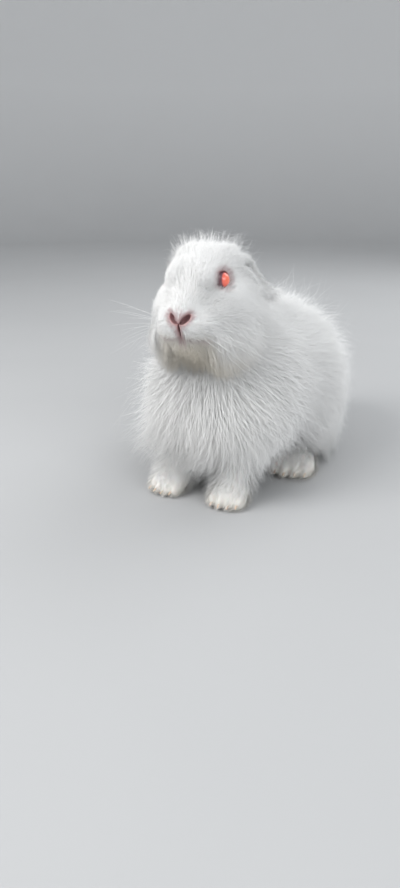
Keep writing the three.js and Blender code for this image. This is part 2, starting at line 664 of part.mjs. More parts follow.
// Every woolly node: a core with its locks, clear of the cores and the finished nodes around it.
const WOOLLY = ["head", "neck", "haunch_left", "haunch_right", "torso", "tail"];
for (const name of WOOLLY) {
  const around = Object.entries({ ...cores, ...solids }).filter(([other]) => other !== name);
  const locks = locksOn(cores[name], kinds[name], around.map(([, solid]) => solid));
  const whole = largest(wasm.Manifold.union([cores[name], ...locks]).simplify(SLIVER));
  addNode(name, whole, name === "head" ? FUR_WHITE : WOOL_WHITE, 0.95);
}

// The origin is the middle of the rabbit's box, on the floor.
const bounds = new THREE.Box3().setFromObject(rabbit);
const middle = bounds.getCenter(point()).setZ(0);
for (const mesh of rabbit.children) mesh.position.sub(middle);

export default rabbit;
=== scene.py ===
"""An angora rabbit, life size, sitting on all four feet with its ears laid back.

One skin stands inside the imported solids, by the depth of their core of wool. The coat is tufts
that are combed over it. The eyes, claws and whiskers are pieces of their own.
"""

import math

import bmesh
import bpy
import numpy as np
from bpy.props import FloatProperty, FloatVectorProperty, IntProperty, PointerProperty
from bpy.types import Operator, Panel, PropertyGroup
from mathutils import Euler, Matrix, Vector


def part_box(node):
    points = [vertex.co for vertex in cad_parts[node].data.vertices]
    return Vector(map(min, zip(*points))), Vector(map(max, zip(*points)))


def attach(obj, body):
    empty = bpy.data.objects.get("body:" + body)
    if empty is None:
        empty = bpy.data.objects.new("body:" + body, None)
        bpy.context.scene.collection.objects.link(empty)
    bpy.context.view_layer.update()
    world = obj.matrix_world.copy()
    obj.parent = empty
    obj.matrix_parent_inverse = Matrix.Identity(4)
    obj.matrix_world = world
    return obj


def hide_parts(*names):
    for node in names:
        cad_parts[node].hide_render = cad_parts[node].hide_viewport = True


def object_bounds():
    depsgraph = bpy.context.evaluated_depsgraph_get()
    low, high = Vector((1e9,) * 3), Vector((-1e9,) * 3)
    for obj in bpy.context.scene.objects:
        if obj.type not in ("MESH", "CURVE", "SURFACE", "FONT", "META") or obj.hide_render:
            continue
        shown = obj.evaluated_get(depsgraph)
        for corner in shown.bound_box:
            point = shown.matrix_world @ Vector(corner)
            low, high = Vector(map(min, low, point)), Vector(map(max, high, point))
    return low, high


bl_info = {
    "name": "Angora Rabbit",
    "version": (1, 0, 0),
    "blender": (4, 5, 0),
    "location": "View3D > Sidebar > Rabbit",
    "description": "Builds a sitting angora rabbit: skin, coat, eyes, claws and whiskers",
    "category": "Object",
}

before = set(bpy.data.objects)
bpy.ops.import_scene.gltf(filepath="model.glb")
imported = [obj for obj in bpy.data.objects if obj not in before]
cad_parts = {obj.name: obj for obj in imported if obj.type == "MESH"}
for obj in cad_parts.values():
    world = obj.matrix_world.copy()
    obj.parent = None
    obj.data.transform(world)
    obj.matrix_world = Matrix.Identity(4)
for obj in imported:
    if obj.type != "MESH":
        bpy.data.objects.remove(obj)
CAD_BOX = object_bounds()
BODY = "root"
SIDES = {"left": 1, "right": -1}
MM = 0.001
SPLAY = {"fore": 6, "hind": 8}  # how far the feet turn outwards, in degrees

# How far the coat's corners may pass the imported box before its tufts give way
ROOM_LOW = np.array((6, -9, 1)) * MM
ROOM_HIGH = np.array((-6, 2, 3)) * MM
HALF_PATCH = 0.0016  # half of a tuft's patch, on the unwrap of the skin

# Length and depth of the coat on the small parts, and what the head's own places add
SMALL_PARTS = {
    "foreleg": (0.024, 0.009), "forepaw": (0.009, 0.0035),
    "hind_foot": (0.013, 0.005), "tail": (0.04, 0.018),
}
ADDED_ON_HEAD = {"crown": (0.006, 0.0055), "nape": (0.009, 0.004), "bridge": (0.001, 0.0015)}

# Place, size, share of the main light's power, and tint
LIGHTS = {
    "key": ((-0.8, -1.2, 1.3), 1.0, 1.0, (1.0, 0.995, 0.99)),
    "fill": ((1.5, -0.9, 0.9), 1.2, 0.5, (0.97, 0.985, 1.0)),
    "back": ((0.5, 1.4, 1.3), 1.4, 0.5, (0.98, 0.99, 1.0)),
}
ROOM_TINT = (0.88, 0.9, 0.92, 1)
ROOM_STRENGTH = 0.8


# Properties


def length(name, description, default, **settings):
    """A property for a length in metres."""
    return FloatProperty(
        name=name, description=description, default=default, min=0.0,
        subtype="DISTANCE", unit="LENGTH", precision=5, **settings,
    )


def angle(name, description, degrees):
    """A property for an angle, given in degrees."""
    return FloatProperty(
        name=name, description=description, default=math.radians(degrees),
        subtype="ANGLE", unit="ROTATION",
    )


def colour(name, description, default):
    """A property for a colour."""
    return FloatVectorProperty(
        name=name, description=description, default=default, size=3,
        min=0.0, max=1.0, subtype="COLOR",
    )


def share(name, description, default, **settings):
    """A property for a plain number."""
    return FloatProperty(name=name, description=description, default=default, **settings)


class RabbitBody(PropertyGroup):
    """Sizes of the body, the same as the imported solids'."""

    trunk: length("Trunk", "Breast to rump, without wool", 0.236)
    head: length("Head", "Nose to the back of the skull", 0.104)
    head_pitch: angle("Head pitch", "How far the line of the mouth dips", 10)
    head_yaw: angle("Head turn", "How far the face turns to its left", 4)
    ear_length: length("Ear length", "Root to tip", 0.104)
    ear_width: length("Ear width", "Across the rolled ear", 0.029)
    ear_thickness: length("Ear thickness", "Of the ear's wall at its root", 0.0034)
    eye_radius: length("Eye radius", "Of the eyeball", 0.0096)
    forepaw: length("Forepaw", "Heel to toe", 0.05)
    hind_foot: length("Hind foot", "Heel to toe", 0.128)
    tail: length("Tail", "Length of the tail without its wool", 0.058)
    claw: length("Claw", "Length of a claw", 0.009)
    skin_cell: length("Skin cell", "Size of the skin's faces on the trunk", 0.0028)


class RabbitCoat(PropertyGroup):
    """Length, depth and number of the coat's tufts."""

    wool: length("Wool", "Length of a tuft on the trunk", 0.062)
    wool_depth: length("Wool depth", "How far the trunk's wool stands off the skin", 0.024)
    ruff: length("Ruff", "Length of a tuft on the neck", 0.05)
    ruff_depth: length("Ruff depth", "How far the ruff stands off the skin", 0.025)
    haunch: length("Haunch", "Length of a tuft on a haunch", 0.052)
    haunch_depth: length("Haunch depth", "How far its wool stands off the skin", 0.016)
    face: length("Face", "Length of the fur on the face", 0.0085)
    face_depth: length("Face depth", "How far the fur stands off the face", 0.0035)
    cheek: length("Cheek", "Length of a tuft on a cheek", 0.026)
    jowl: length("Jowl", "Length of a tuft that hangs from the lower cheek", 0.036)
    cheek_depth: length("Cheek depth", "How far the cheek's wool stands off", 0.016)
    face_tufts: IntProperty(
        name="Face tufts", description="Tufts on the head and ears", default=62000, min=0,
    )
    wool_tufts: IntProperty(
        name="Wool tufts", description="Tufts on all of the rest", default=76000, min=0,
    )
    white: colour("White", "Colour of clean wool", (0.95, 0.95, 0.94))
    cream: colour("Cream", "Colour of the yellowed chin and feet", (0.72, 0.62, 0.45))
    skin: colour("Skin", "Colour of bare skin", (0.56, 0.33, 0.32))
    # Partly the darker skin inside the nostrils and on the lids, partly painted shade in these
    # hollows.
    dusky: colour("Dusky skin", "Colour inside the nostrils and lids", (0.19, 0.07, 0.08))
    # Real pink round the nose and eyes; along the line of the mouth the same tint is painted shade.
    blush: colour("Blush", "Tint of the short fur round the nose and eyes", (0.45, 0.3, 0.31))


class RabbitFace(PropertyGroup):
    """Colours and sizes of the eyes and whiskers."""

    # The pupil's red is its own; its shine is painted light, made in the eye's material.
    pupil: colour("Pupil", "Red that shines out of the eye", (0.75, 0.12, 0.09))
    iris: colour("Iris", "Ring round the pupil", (0.15, 0.06, 0.08))
    pupil_size: share("Pupil size", "Angle from the middle to its edge", 0.72, min=0.1, max=1.4)
    whisker: length("Whisker", "Length of the longest whisker", 0.07)
    whisker_thickness: length("Whisker thickness", "Thickness at the root", 0.00018)
    horn: colour("Horn", "Colour of the claws", (0.62, 0.45, 0.33))


class RabbitStage(PropertyGroup):
    """The floor, the lights and the camera."""

    floor: colour("Floor", "Colour of the floor", (0.45, 0.455, 0.46))
    wall: colour("Wall", "Colour of the wall far behind", (0.72, 0.725, 0.73))
    floor_size: length("Floor size", "Radius of the floor's flat part", 3.2)
    cove: length("Cove", "Radius of the bend between floor and wall", 0.9)
    wall_height: length("Wall height", "From the floor to the wall's top", 2.4)
    camera_place: FloatVectorProperty(
        name="Camera place", description="Where the camera stands",
        default=(0.2918, -0.6791, 0.313), size=3, subtype="TRANSLATION", unit="LENGTH",
    )
    camera_pitch: angle("Camera pitch", "How far it looks down", 22.06)
    camera_turn: angle("Camera turn", "How far it turns to the left", 27.86)
    lens: share("Lens", "Focal length in millimetres", 26.0, min=10.0)
    light: share("Light", "Power of the main light in watts", 25.0, min=0.0)


# Forms, as distances to a surface that are negative inside it


def ellipsoid(centre, radii):
    """An ellipsoid. Like every shape here, it gives each point's distance and slope."""
    centre = np.asarray(centre, float)
    inverse = 1 / np.asarray(radii, float)

    def shape(points):
        scaled = (points - centre) * inverse
        steep = scaled * inverse
        steepness = np.maximum(sizes_of(steep), 1e-9)
        size = sizes_of(scaled)
        return size * (size - 1) / steepness, steep / steepness[:, None]

    return shape


def limb(start, start_radius, end, end_radius):
    """A rounded limb that narrows from its start to its end."""
    start = np.asarray(start, float)
    along = np.asarray(end, float) - start

    def shape(points):
        t = np.clip((points - start) @ (along / (along @ along)), 0, 1)
        off = points - start - t[:, None] * along
        size = np.maximum(sizes_of(off), 1e-9)
        return size - (start_radius + (end_radius - start_radius) * t), off / size[:, None]

    return shape


def blend(softness, shapes):
    """Joins shapes with soft inner corners."""

    def joined(points):
        total, lean = np.zeros(len(points)), np.zeros((len(points), 3))
        for shape in shapes:
            distance, rise = shape(points)
            weight = np.exp(-np.clip(distance / softness, -60, 60))
            total += weight
            lean += weight[:, None] * rise
        return -softness * np.log(total), lean / total[:, None]

    return joined


def tube(spots, radius):
    """A thin tube through a row of points."""
    return blend(0.1 * MM, [limb(a, radius, b, radius) for a, b in zip(spots, spots[1:])])


def hollow(shape):
    """The space outside a shape."""

    def outside(points):
        distance, rise = shape(points)
        return -distance, -rise

    return outside


def carve(softness, shape, cutter):
    """Takes a cutter out of a shape, with soft edges."""
    return hollow(blend(softness, [hollow(shape), cutter]))


def mirrored(shape):
    """The same shape on the other side."""
    flip = np.array((-1, 1, 1))

    def other(points):
        distance, rise = shape(points * flip)
        return distance, rise * flip

    return other


def both_sides(shape):
    """A shape and its mirror image."""
    return [shape, mirrored(shape)]


def nearby(shape, centre, radius, margin):
    """A shape that is only worked out near by. Further off, its distance is rough."""

    def rough(points):
        off = points - centre
        size = sizes_of(off)
        distance, rise = size - radius, off / np.maximum(size, 1e-9)[:, None]
        close = size < radius + margin
        distance[close], rise[close] = shape(points[close])
        return distance, rise

    return rough


def sizes_of(vectors):
    """The length of each vector."""
    return np.sqrt(np.einsum("ij,ij->i", vectors, vectors))


def unit(vectors):
    """Vectors scaled to length 1."""
    size = np.linalg.norm(vectors, axis=-1, keepdims=True)
    return vectors / np.maximum(size, 1e-12)


def flat_on(vectors, normals):
    """Vectors turned flat onto a surface with these normals, at length 1."""
    return unit(vectors - normals * np.sum(vectors * normals, axis=1, keepdims=True))


def ramp(values, low, high):
    """Rises smoothly from 0 at low to 1 at high."""
    t = np.clip((values - low) / (high - low), 0, 1)
    return t * t * (3 - 2 * t)


def onto(shape, inside, direction):
    """The point of a shape's surface on a line from a point inside it."""
    near, far = 0.0, 0.1
    for _ in range(24):
        middle = (near + far) / 2
        if shape((inside + middle * direction)[None])[0][0] < 0:
            near = middle
        else:
            far = middle
    return inside + far * direction


class Figure:
    """All forms of the rabbit, in the frame of its own middle line."""

    def __init__(self, sizes):
        self.sizes = sizes
        turn = Euler((sizes.head_pitch, 0, sizes.head_yaw)).to_matrix()
        self.turn = np.array(turn)
        self.head_at = self.on_trunk(0, -0.455, 0.9)
        self.eye_at = self.on_head(0.2, -0.06, 0.185)
        self.eye_gaze = unit(np.array((0.93, -0.35, 0.1)))
        self.pupil_gaze = unit(np.array((0.99, -0.02, 0.1)))
        self.shift = self.find_shift()
        self.make_trunk()
        self.make_legs()
        self.make_head()
        self.parts = self.list_parts()
        self.flesh = blend(3 * MM, [*self.parts.values()])
        self.smooth = blend(11 * MM, [*self.parts.values()])

    def on_trunk(self, *place):
        """A point given in trunk lengths."""
        return np.array(place) * self.sizes.trunk

    def on_head(self, *place):
        """A point given in head lengths, on the head's own axes."""
        return np.array(place) * self.sizes.head

    def from_head(self, points):
        """Points on the head's axes, put where the head is."""
        return points @ self.turn.T + self.head_at

    def to_head(self, points):
        """Points where the head is, put on its own axes."""
        return (points - self.head_at) @ self.turn

    def find_shift(self):
        """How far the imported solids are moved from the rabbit's middle line."""
        corners = [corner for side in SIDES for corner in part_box(f"eye_{side}")]
        packed = np.mean([tuple(corner) for corner in corners], axis=0)
        return (packed - self.from_head(self.eye_at * (0, 1, 1))) * (1, 1, 0)

    def make_trunk(self):
        """Trunk, neck, haunches and tail."""
        at = self.on_trunk
        trunk = self.sizes.trunk
        self.trunk = blend(9 * MM, [
            ellipsoid(at(0, 0.38, 0.37), at(0.265, 0.27, 0.31)),
            ellipsoid(at(0, 0.12, 0.41), at(0.26, 0.34, 0.3)),
            ellipsoid(at(0, -0.16, 0.47), at(0.21, 0.26, 0.28)),
            ellipsoid(at(0, -0.29, 0.48), at(0.16, 0.15, 0.21)),
            *both_sides(ellipsoid(at(0.13, -0.21, 0.44), at(0.1, 0.16, 0.2))),
        ])
        self.neck = limb(at(0, -0.2, 0.6), trunk * 0.18, at(0, -0.37, 0.81), trunk * 0.145)
        self.haunches = both_sides(ellipsoid(at(0.215, 0.25, 0.315), at(0.13, 0.26, 0.25)))
        self.tail_root = at(0, 0.63, 0.33)
        self.tail_tip = self.tail_root + self.sizes.tail * np.array((0, 0.42, 0.66))
        tail = self.sizes.tail
        self.tail = limb(self.tail_root, tail * 0.15, self.tail_tip, tail * 0.12)

    def make_legs(self):
        """Forelegs, forepaws and hind feet."""
        at = self.on_trunk
        trunk = self.sizes.trunk
        wrist = at(0.14, -0.41, 0.115)
        self.forelegs = both_sides(limb(at(0.15, -0.27, 0.35), trunk * 0.085, wrist, trunk * 0.062))
        size = self.sizes.forepaw
        heel = np.array((wrist[0], wrist[1] + size * 0.26, 0))
        here = paw_frame(heel, SPLAY["fore"], size)
        self.fore_toes = [
            (here(x, 0.79 - abs(i - 1.4) * 0.06, 0.14), np.array((0.115, 0.23, 0.16)) * size)
            for i, x in enumerate((-0.27, -0.09, 0.1, 0.27))
        ]
        paw = blend(1.3 * MM, [
            ellipsoid(here(0, 0.46, 0.24), np.array((0.37, 0.42, 0.27)) * size),
            limb(wrist, size * 0.27, here(0, 0.4, 0.26), size * 0.25),
            *[ellipsoid(*toe) for toe in self.fore_toes],
        ])
        self.forepaws = both_sides(paw)
        size = self.sizes.hind_foot
        here = paw_frame(at(0.225, 0.41, 0) * (1, 1, 0), SPLAY["hind"], size)
        self.hind_toes = [
            (here(x, 0.885 - abs(i - 1.2) * 0.028, 0.06), np.array((0.054, 0.12, 0.075)) * size)
            for i, x in enumerate((-0.13, -0.042, 0.05, 0.135))
        ]
        foot = blend(1.8 * MM, [
            limb(here(0, 0.1, 0.12), size * 0.115, here(0, 0.66, 0.09), size * 0.115),
            ellipsoid(here(0, 0.72, 0.09), np.array((0.17, 0.2, 0.1)) * size),
            *[ellipsoid(*toe) for toe in self.hind_toes],
        ])
        self.hind_feet = both_sides(foot)

    def make_head(self):
        """The head with its eyes, lids, nostrils, cleft and mouth."""
        at = self.on_head
        head = self.sizes.head
        self.skull = blend(3.2 * MM, [
            ellipsoid(at(0, 0.08, 0.13), at(0.26, 0.31, 0.24)),
            *both_sides(ellipsoid(at(0.15, 0.17, 0.26), at(0.11, 0.14, 0.11))),
            limb(at(0, -0.03, 0.14), head * 0.2, at(0, -0.34, -0.02), head * 0.13),
            ellipsoid(at(0, -0.42, -0.07), at(0.105, 0.1, 0.1)),
            *both_sides(ellipsoid(at(0.11, -0.35, -0.14), at(0.165, 0.16, 0.14))),
            limb(at(0, -0.33, -0.28), head * 0.12, at(0, 0.02, -0.24), head * 0.18),
            *both_sides(ellipsoid(at(0.2, 0, -0.11), at(0.2, 0.3, 0.27))),
            *both_sides(ellipsoid(at(0.13, -0.06, 0.22), at(0.13, 0.22, 0.12))),
            *both_sides(ellipsoid(at(0.17, -0.22, -0.2), at(0.14, 0.17, 0.13))),
        ])
        self.slits = self.make_slits()
        eyes = [self.eye_at * (sign, 1, 1) for sign in SIDES.values()]
        ball = [self.sizes.eye_radius + 0.2 * MM] * 3
        shape = self.skull
        rings = []
        for sign, eye in zip(SIDES.values(), eyes):
            axes = self.eye_frame(sign)[1]
            orbit = placed(ellipsoid((0, 0, 8.6 * MM), np.array((13, 12, 4)) * MM), eye, axes.T)
            shape = carve(1.2 * MM, shape, orbit)
            rings.append(nearby(self.lid_ring(sign), eye, 14 * MM, 6 * MM))
        shape = blend(0.8 * MM, [shape, *rings])
        for eye in eyes:
            shape = carve(0.25 * MM, shape, ellipsoid(eye, ball))
        slits = nearby(blend(0.3 * MM, self.slits), at(0, -0.45, -0.1), 0.2 * head, 6 * MM)
        self.face = carve(0.5 * MM, shape, slits)

    def make_slits(self):
        """Nostrils, the cleft between the lips and the line of the mouth."""
        at = self.on_head
        slits = []
        for sign in SIDES.values():
            lean = np.array(Matrix.Rotation(-0.72 * sign, 3, "Y"))
            hole = ellipsoid((0, 0, 0), at(0.061, 0.05, 0.025))
            centre = at(0.056 * sign, -0.5, -0.037)
            slits.append(placed(hole, centre, lean))
        slits.append(ellipsoid(at(0, -0.5, -0.13), at(0.01, 0.05, 0.075)))
        spots = []
        for across in np.linspace(-1, 1, 13):
            inside = at(0.115 * across, -0.3, -0.15)
            towards = unit(np.array((across * 0.5, -1, -0.3 - 0.2 * abs(across))))
            spots.append(onto(self.skull, inside, towards))
        slits.append(tube(spots, self.sizes.head * 0.008))
        return slits

    def eye_frame(self, sign):
        """The middle of an eye and its axes: forwards along the face, up, and outwards."""
        out = self.eye_gaze * (sign, 1, 1)
        up = unit(np.array((0, 0, 1)) - out * out[2])
        along = np.cross(up, out) * -sign
        return self.eye_at * (sign, 1, 1), np.stack([along, up, out])

    def lid_ring(self, sign):
        """The two lids, a ring that is drawn out to the corners of the eye."""
        centre, axes = self.eye_frame(sign)
        ball = self.sizes.eye_radius
        seat = 0.52
        wide = ball * math.sqrt(1 - seat**2)

        def ring(points):
            along, up, out = ((points - centre) @ axes.T).T
            along = along - 0.8 * MM
            turned = np.stack([along / 1.2, up / 1.04], axis=1)
            corner = np.maximum(sizes_of(turned), 1e-6)
            aside, above = corner - wide, out - ball * seat
            size = np.maximum(np.hypot(aside, above), 1e-6)
            flat = turned / corner[:, None] * (aside / size)[:, None]
            return size - 1.25 * MM, np.column_stack([flat, above / size]) @ axes

        return ring

    def list_parts(self):
        """Every part of the body, by name."""
        parts = {
            "head": self.around("head", placed(self.face, self.head_at, self.turn)),
            "neck": self.around("neck", self.neck),
            "trunk": self.trunk,
            "tail": self.around("tail", self.tail),
        }
        groups = {
            "haunch": self.haunches, "foreleg": self.forelegs,
            "forepaw": self.forepaws, "hind_foot": self.hind_feet,
        }
        for kind, shapes in groups.items():
            for side, shape in zip(SIDES, shapes):
                name = f"{kind}_{side}"
                parts[name] = self.around(name, shape)
        return parts

    def around(self, name, shape):
        """A part's shape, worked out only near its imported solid."""
        low, high = (np.array(corner) - self.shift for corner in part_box(name))
        return nearby(shape, (low + high) / 2, np.linalg.norm(high - low) / 2, 45 * MM)


def placed(shape, centre, turn):
    """A shape that is turned about its own origin and moved to a centre."""

    def moved(points):
        distance, rise = shape((points - centre) @ turn)
        return distance, rise @ turn.T

    return moved


def paw_frame(heel, splay, size):
    """Gives points of a paw: sideways, forwards from the heel, and up, in its own lengths."""
    turn = np.array(Matrix.Rotation(math.radians(splay), 3, "Z"))
    return lambda sideways, forwards, up: (
        turn @ (np.array((sideways, -forwards, up)) * size) + heel
    )


# Meshes


def surface_net(shape, low, high, cell):
    """A mesh of four-sided faces where a shape's distance is zero."""
    counts = np.ceil((high - low) / cell).astype(int) + 1
    nodes = np.indices(counts).reshape(3, -1).T
    level = shape(low + nodes * cell)[0].reshape(counts)
    sums = np.zeros((counts.prod(), 3))
    hits = np.zeros(counts.prod())
    quads = []
    for axis in range(3):
        u, v = (axis + 1) % 3, (axis + 2) % 3
        near = np.take(level, range(counts[axis] - 1), axis)
        far = np.take(level, range(1, counts[axis]), axis)
        edges = np.argwhere((near < 0) != (far < 0))
        start, end = near[tuple(edges.T)], far[tuple(edges.T)]
        spots = edges.astype(float)
        spots[:, axis] += start / (start - end)
        quad = []
        for back_u, back_v in ((1, 1), (0, 1), (0, 0), (1, 0)):
            owner = edges.copy()
            owner[:, u] -= back_u
            owner[:, v] -= back_v
            flat = np.ravel_multi_index(owner.T, counts)
            np.add.at(sums, flat, spots)
            np.add.at(hits, flat, 1)
            quad.append(flat)
        quad = np.stack(quad, axis=1)
        quad[start > 0] = quad[start > 0, ::-1]
        quads.append(quad)
    used, faces = np.unique(np.concatenate(quads), return_inverse=True)
    points = low + cell * sums[used] / hits[used][:, None]
    return points, faces.reshape(-1, 4)


def settle(shape, points, rounds=4, most=1.5 * MM):
    """Moves points onto a shape's surface."""
    for _ in range(rounds):
        distance, rise = shape(points)
        points = points - unit(rise) * np.clip(distance, -most, most)[:, None]
    return points


def new_mesh(name, points, faces, shift):
    """A mesh from points and faces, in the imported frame."""
    mesh = bpy.data.meshes.new(name)
    mesh.from_pydata([tuple(p) for p in points + shift], [], [tuple(f) for f in faces])
    mesh.validate()
    mesh.shade_smooth()
    return mesh


def new_piece(name, mesh, material):
    """An object for a mesh, with its material."""
    piece = bpy.data.objects.new(name, mesh)
    bpy.context.scene.collection.objects.link(piece)
    mesh.materials.clear()
    mesh.materials.append(material)
    return piece


def points_of(mesh):
    """A mesh's points as an array."""
    spots = np.zeros(len(mesh.vertices) * 3, np.float32)
    mesh.vertices.foreach_get("co", spots)
    return spots.reshape(-1, 3).astype(float)


def refine(points, faces, region):
    """Splits the faces whose middle is in the region into smaller ones."""
    mesh = bpy.data.meshes.new("refining")
    mesh.from_pydata([tuple(p) for p in points], [], [tuple(f) for f in faces])
    shell = bmesh.new()
    shell.from_mesh(mesh)
    middles = np.array([face.calc_center_median() for face in shell.faces])
    chosen = region(middles)
    edges = {edge for face, take in zip(shell.faces, chosen) if take for edge in face.edges}
    bmesh.ops.subdivide_edges(shell, edges=list(edges), cuts=1, use_grid_fill=True)
    bmesh.ops.triangulate(shell, faces=[face for face in shell.faces if len(face.verts) > 4])
    shell.verts.index_update()
    points = np.array([vert.co for vert in shell.verts])
    faces = [[vert.index for vert in face.verts] for face in shell.faces]
    shell.free()
    bpy.data.meshes.remove(mesh)
    return points, faces


def loft(rings, first=0):
    """Faces of a closed body through rings of points that follow one another."""
    count = len(rings[0])
    faces = []
    for row in range(len(rings) - 1):
        for i in range(count):
            j = (i + 1) % count
            here, there = first + row * count, first + (row + 1) * count
            faces.append((here + i, here + j, there + j, there + i))
    last = first + (len(rings) - 1) * count
    faces.append(tuple(range(first + count - 1, first - 1, -1)))
    faces.append(tuple(range(last, last + count)))
    return faces


def tapered(path, radii, sides, flatten=1.0):
    """Rings of points round a path."""
    path = np.asarray(path, float)
    along = unit(np.gradient(path, axis=0))
    aside = unit(np.cross(along, (0.13, 0.31, 0.94)))
    rise = np.cross(along, aside)
    turns = np.arange(sides) / sides * 2 * math.pi
    return [
        spot + radius * (np.cos(turns)[:, None] * a + flatten * np.sin(turns)[:, None] * b)
        for spot, radius, a, b in zip(path, radii, aside, rise)
    ]


def bundle(bodies):
    """Points and faces of several lofted bodies in one mesh."""
    points, faces = [], []
    for rings in bodies:
        faces += loft(rings, sum(len(ring) for ring in points))
        points += list(rings)
    return np.concatenate(points), faces


def outwards(mesh):
    """Turns every face of a closed mesh outwards."""
    shell = bmesh.new()
    shell.from_mesh(mesh)
    bmesh.ops.recalc_face_normals(shell, faces=shell.faces)
    shell.to_mesh(mesh)
    shell.free()
    mesh.shade_smooth()
    return mesh


# Materials


class Material:
    """Builds a material's nodes in short lines."""

    def __init__(self, name, **sockets):
        self.material = bpy.data.materials.new(name)
        self.material.use_nodes = True
        self.nodes = self.material.node_tree.nodes
        self.links = self.material.node_tree.links
        self.shader = self.nodes["Principled BSDF"]
        self.set(self.shader, sockets)

    def set(self, node, values):
        """Sets or links a node's inputs by name, where _ stands for a space."""
        for name, value in values.items():
            socket = next(s for s in node.inputs if s.enabled and s.name == name.replace("_", " "))
            if isinstance(value, bpy.types.NodeSocket):
                self.links.new(value, socket)
            elif socket.type == "RGBA" and len(value) == 3:
                socket.default_value = (*value, 1)
            else:
                socket.default_value = value

    def add(self, kind, settings=None, out=0, **inputs):
        """Adds a node and gives its output."""
        node = self.nodes.new(kind)
        for key, value in (settings or {}).items():
            setattr(node, key, value)
        self.set(node, inputs)
        return [s for s in node.outputs if s.enabled][out]

    def object_place(self):
        """Object coordinates."""
        node = self.nodes.new("ShaderNodeTexCoord")
        return node.outputs["Object"]

    def noise(self, scale, detail=2.0, vector=None):
        """A noise on Object coordinates."""
        place = vector or self.object_place()
        return self.add("ShaderNodeTexNoise", Vector=place, Scale=scale, Detail=detail)

    def span(self, value, low, high):
        """Stretches a value so that low becomes 0 and high becomes 1."""
        node = self.nodes.new("ShaderNodeMapRange")
        self.set(node, {"Value": value, "From_Min": low, "From_Max": high})
        return node.outputs[0]

    def mix(self, factor, a, b):
        """Mixes two colours."""
        node = self.nodes.new("ShaderNodeMix")
        node.data_type = "RGBA"
        self.set(node, {"Factor": factor, "A": a, "B": b})
        return next(s for s in node.outputs if s.enabled)

    def attribute(self, name):
        """A number that the mesh carries."""
        node = self.nodes.new("ShaderNodeAttribute")
        node.attribute_name = name
        return node.outputs["Fac"]

    def bump(self, height, distance, strength=1.0):
        """Bumps the surface by a height."""
        node = self.nodes.new("ShaderNodeBump")
        self.set(node, {"Height": height, "Distance": distance, "Strength": strength})
        self.set(self.shader, {"Normal": node.outputs[0]})


def coat_material(coat):
    """White fur, creamy at the chin and feet, with faint grey and warm patches."""
    fur = Material(
        "fur", Roughness=0.8, Sheen_Weight=0.3, Sheen_Roughness=0.5,
        Specular_IOR_Level=0.2,
    )
    patches = fur.span(fur.noise(38.0, 3.0), 0.38, 0.7)
    shade = tuple(part * 0.94 for part in coat.white)
    white = fur.mix(patches, coat.white, shade)
    cream = fur.attribute("cream")
    warm = fur.mix(cream, white, coat.cream)
    # The pink tint: real round the nose and eyes, painted shade along the mouth.
    fur.set(fur.shader, {"Base_Color": fur.mix(fur.attribute("blush"), warm, coat.blush)})
    fur.bump(fur.noise(900.0), 0.2 * MM, 0.4)
    return fur.material


def skin_material(coat):
    """The skin under the coat: white where fur grows, pink where it is bare, and darker inside the
    nostrils, at the cleft and on the lids, partly as painted shade.
    """
    skin = Material(
        "skin", Roughness=0.6, Subsurface_Weight=0.12, Subsurface_Scale=0.004,
        Sheen_Weight=0.2, Sheen_Roughness=0.5,
    )
    skin.shader.inputs["Subsurface Radius"].default_value = (1.0, 0.35, 0.25)
    patches = skin.span(skin.noise(60.0, 3.0), 0.35, 0.7)
    shade = tuple(part * 0.93 for part in coat.white)
    white = skin.mix(patches, coat.white, shade)
    warm = skin.mix(skin.attribute("cream"), white, coat.cream)
    # The pink tint: real round the nose and eyes, painted shade along the mouth.
    furred = skin.mix(skin.attribute("blush"), warm, coat.blush)
    paler = (0.66, 0.45, 0.42)
    pink = skin.mix(skin.span(skin.noise(260.0, 4.0), 0.3, 0.75), coat.skin, paler)
    bare = skin.mix(skin.attribute("bare"), furred, pink)
    # The nostrils, the cleft and the lids are darkened: partly their own skin, partly painted
    # shade.
    skin.set(skin.shader, {"Base_Color": skin.mix(skin.attribute("dusky"), bare, coat.dusky)})
    skin.bump(skin.noise(1400.0, 3.0), 0.15 * MM, 0.5)
    return skin.material


def eye_material(face):
    """A wet red eye: the pupil gives off painted light for the red that the eye throws back, and
    the iris turns to painted shade towards its edge, where the lids overhang.
    """
    eye = Material(
        "eye", Roughness=0.12, Coat_Weight=1.0, Coat_Roughness=0.02, Coat_IOR=1.38,
        # Painted light: the pupil shines a little of itself, for the light that the eye throws
        # back.
        Emission_Strength=0.2,
    )
    pale_fibre, painted_rim_shade = (0.22, 0.09, 0.11), (0.06, 0.02, 0.024)
    middle, painted_glow, no_painted_glow = (0.85, 0.2, 0.1), (0.9, 0.17, 0.1), (0.0, 0.0, 0.0)
    off_gaze = eye.attribute("off_gaze")
    size = face.pupil_size
    fibres = eye.noise(1800.0, 4.0)
    iris = eye.mix(eye.span(fibres, 0.35, 0.7), face.iris, pale_fibre)
    # Painted shade: the iris turns near black towards its edge, under the lids.
    shaded_iris = eye.mix(eye.span(off_gaze, 1.0, 1.25), iris, painted_rim_shade)
    # The pupil is red of its own; its brighter orange middle is painted light.
    depth = eye.mix(eye.span(off_gaze, 0.0, size), middle, face.pupil)
    edge = eye.span(off_gaze, size, size + 0.1)
    eye.set(eye.shader, {
        "Base_Color": eye.mix(edge, depth, shaded_iris),
        "Emission_Color": eye.mix(edge, painted_glow, no_painted_glow),
    })
    return eye.material


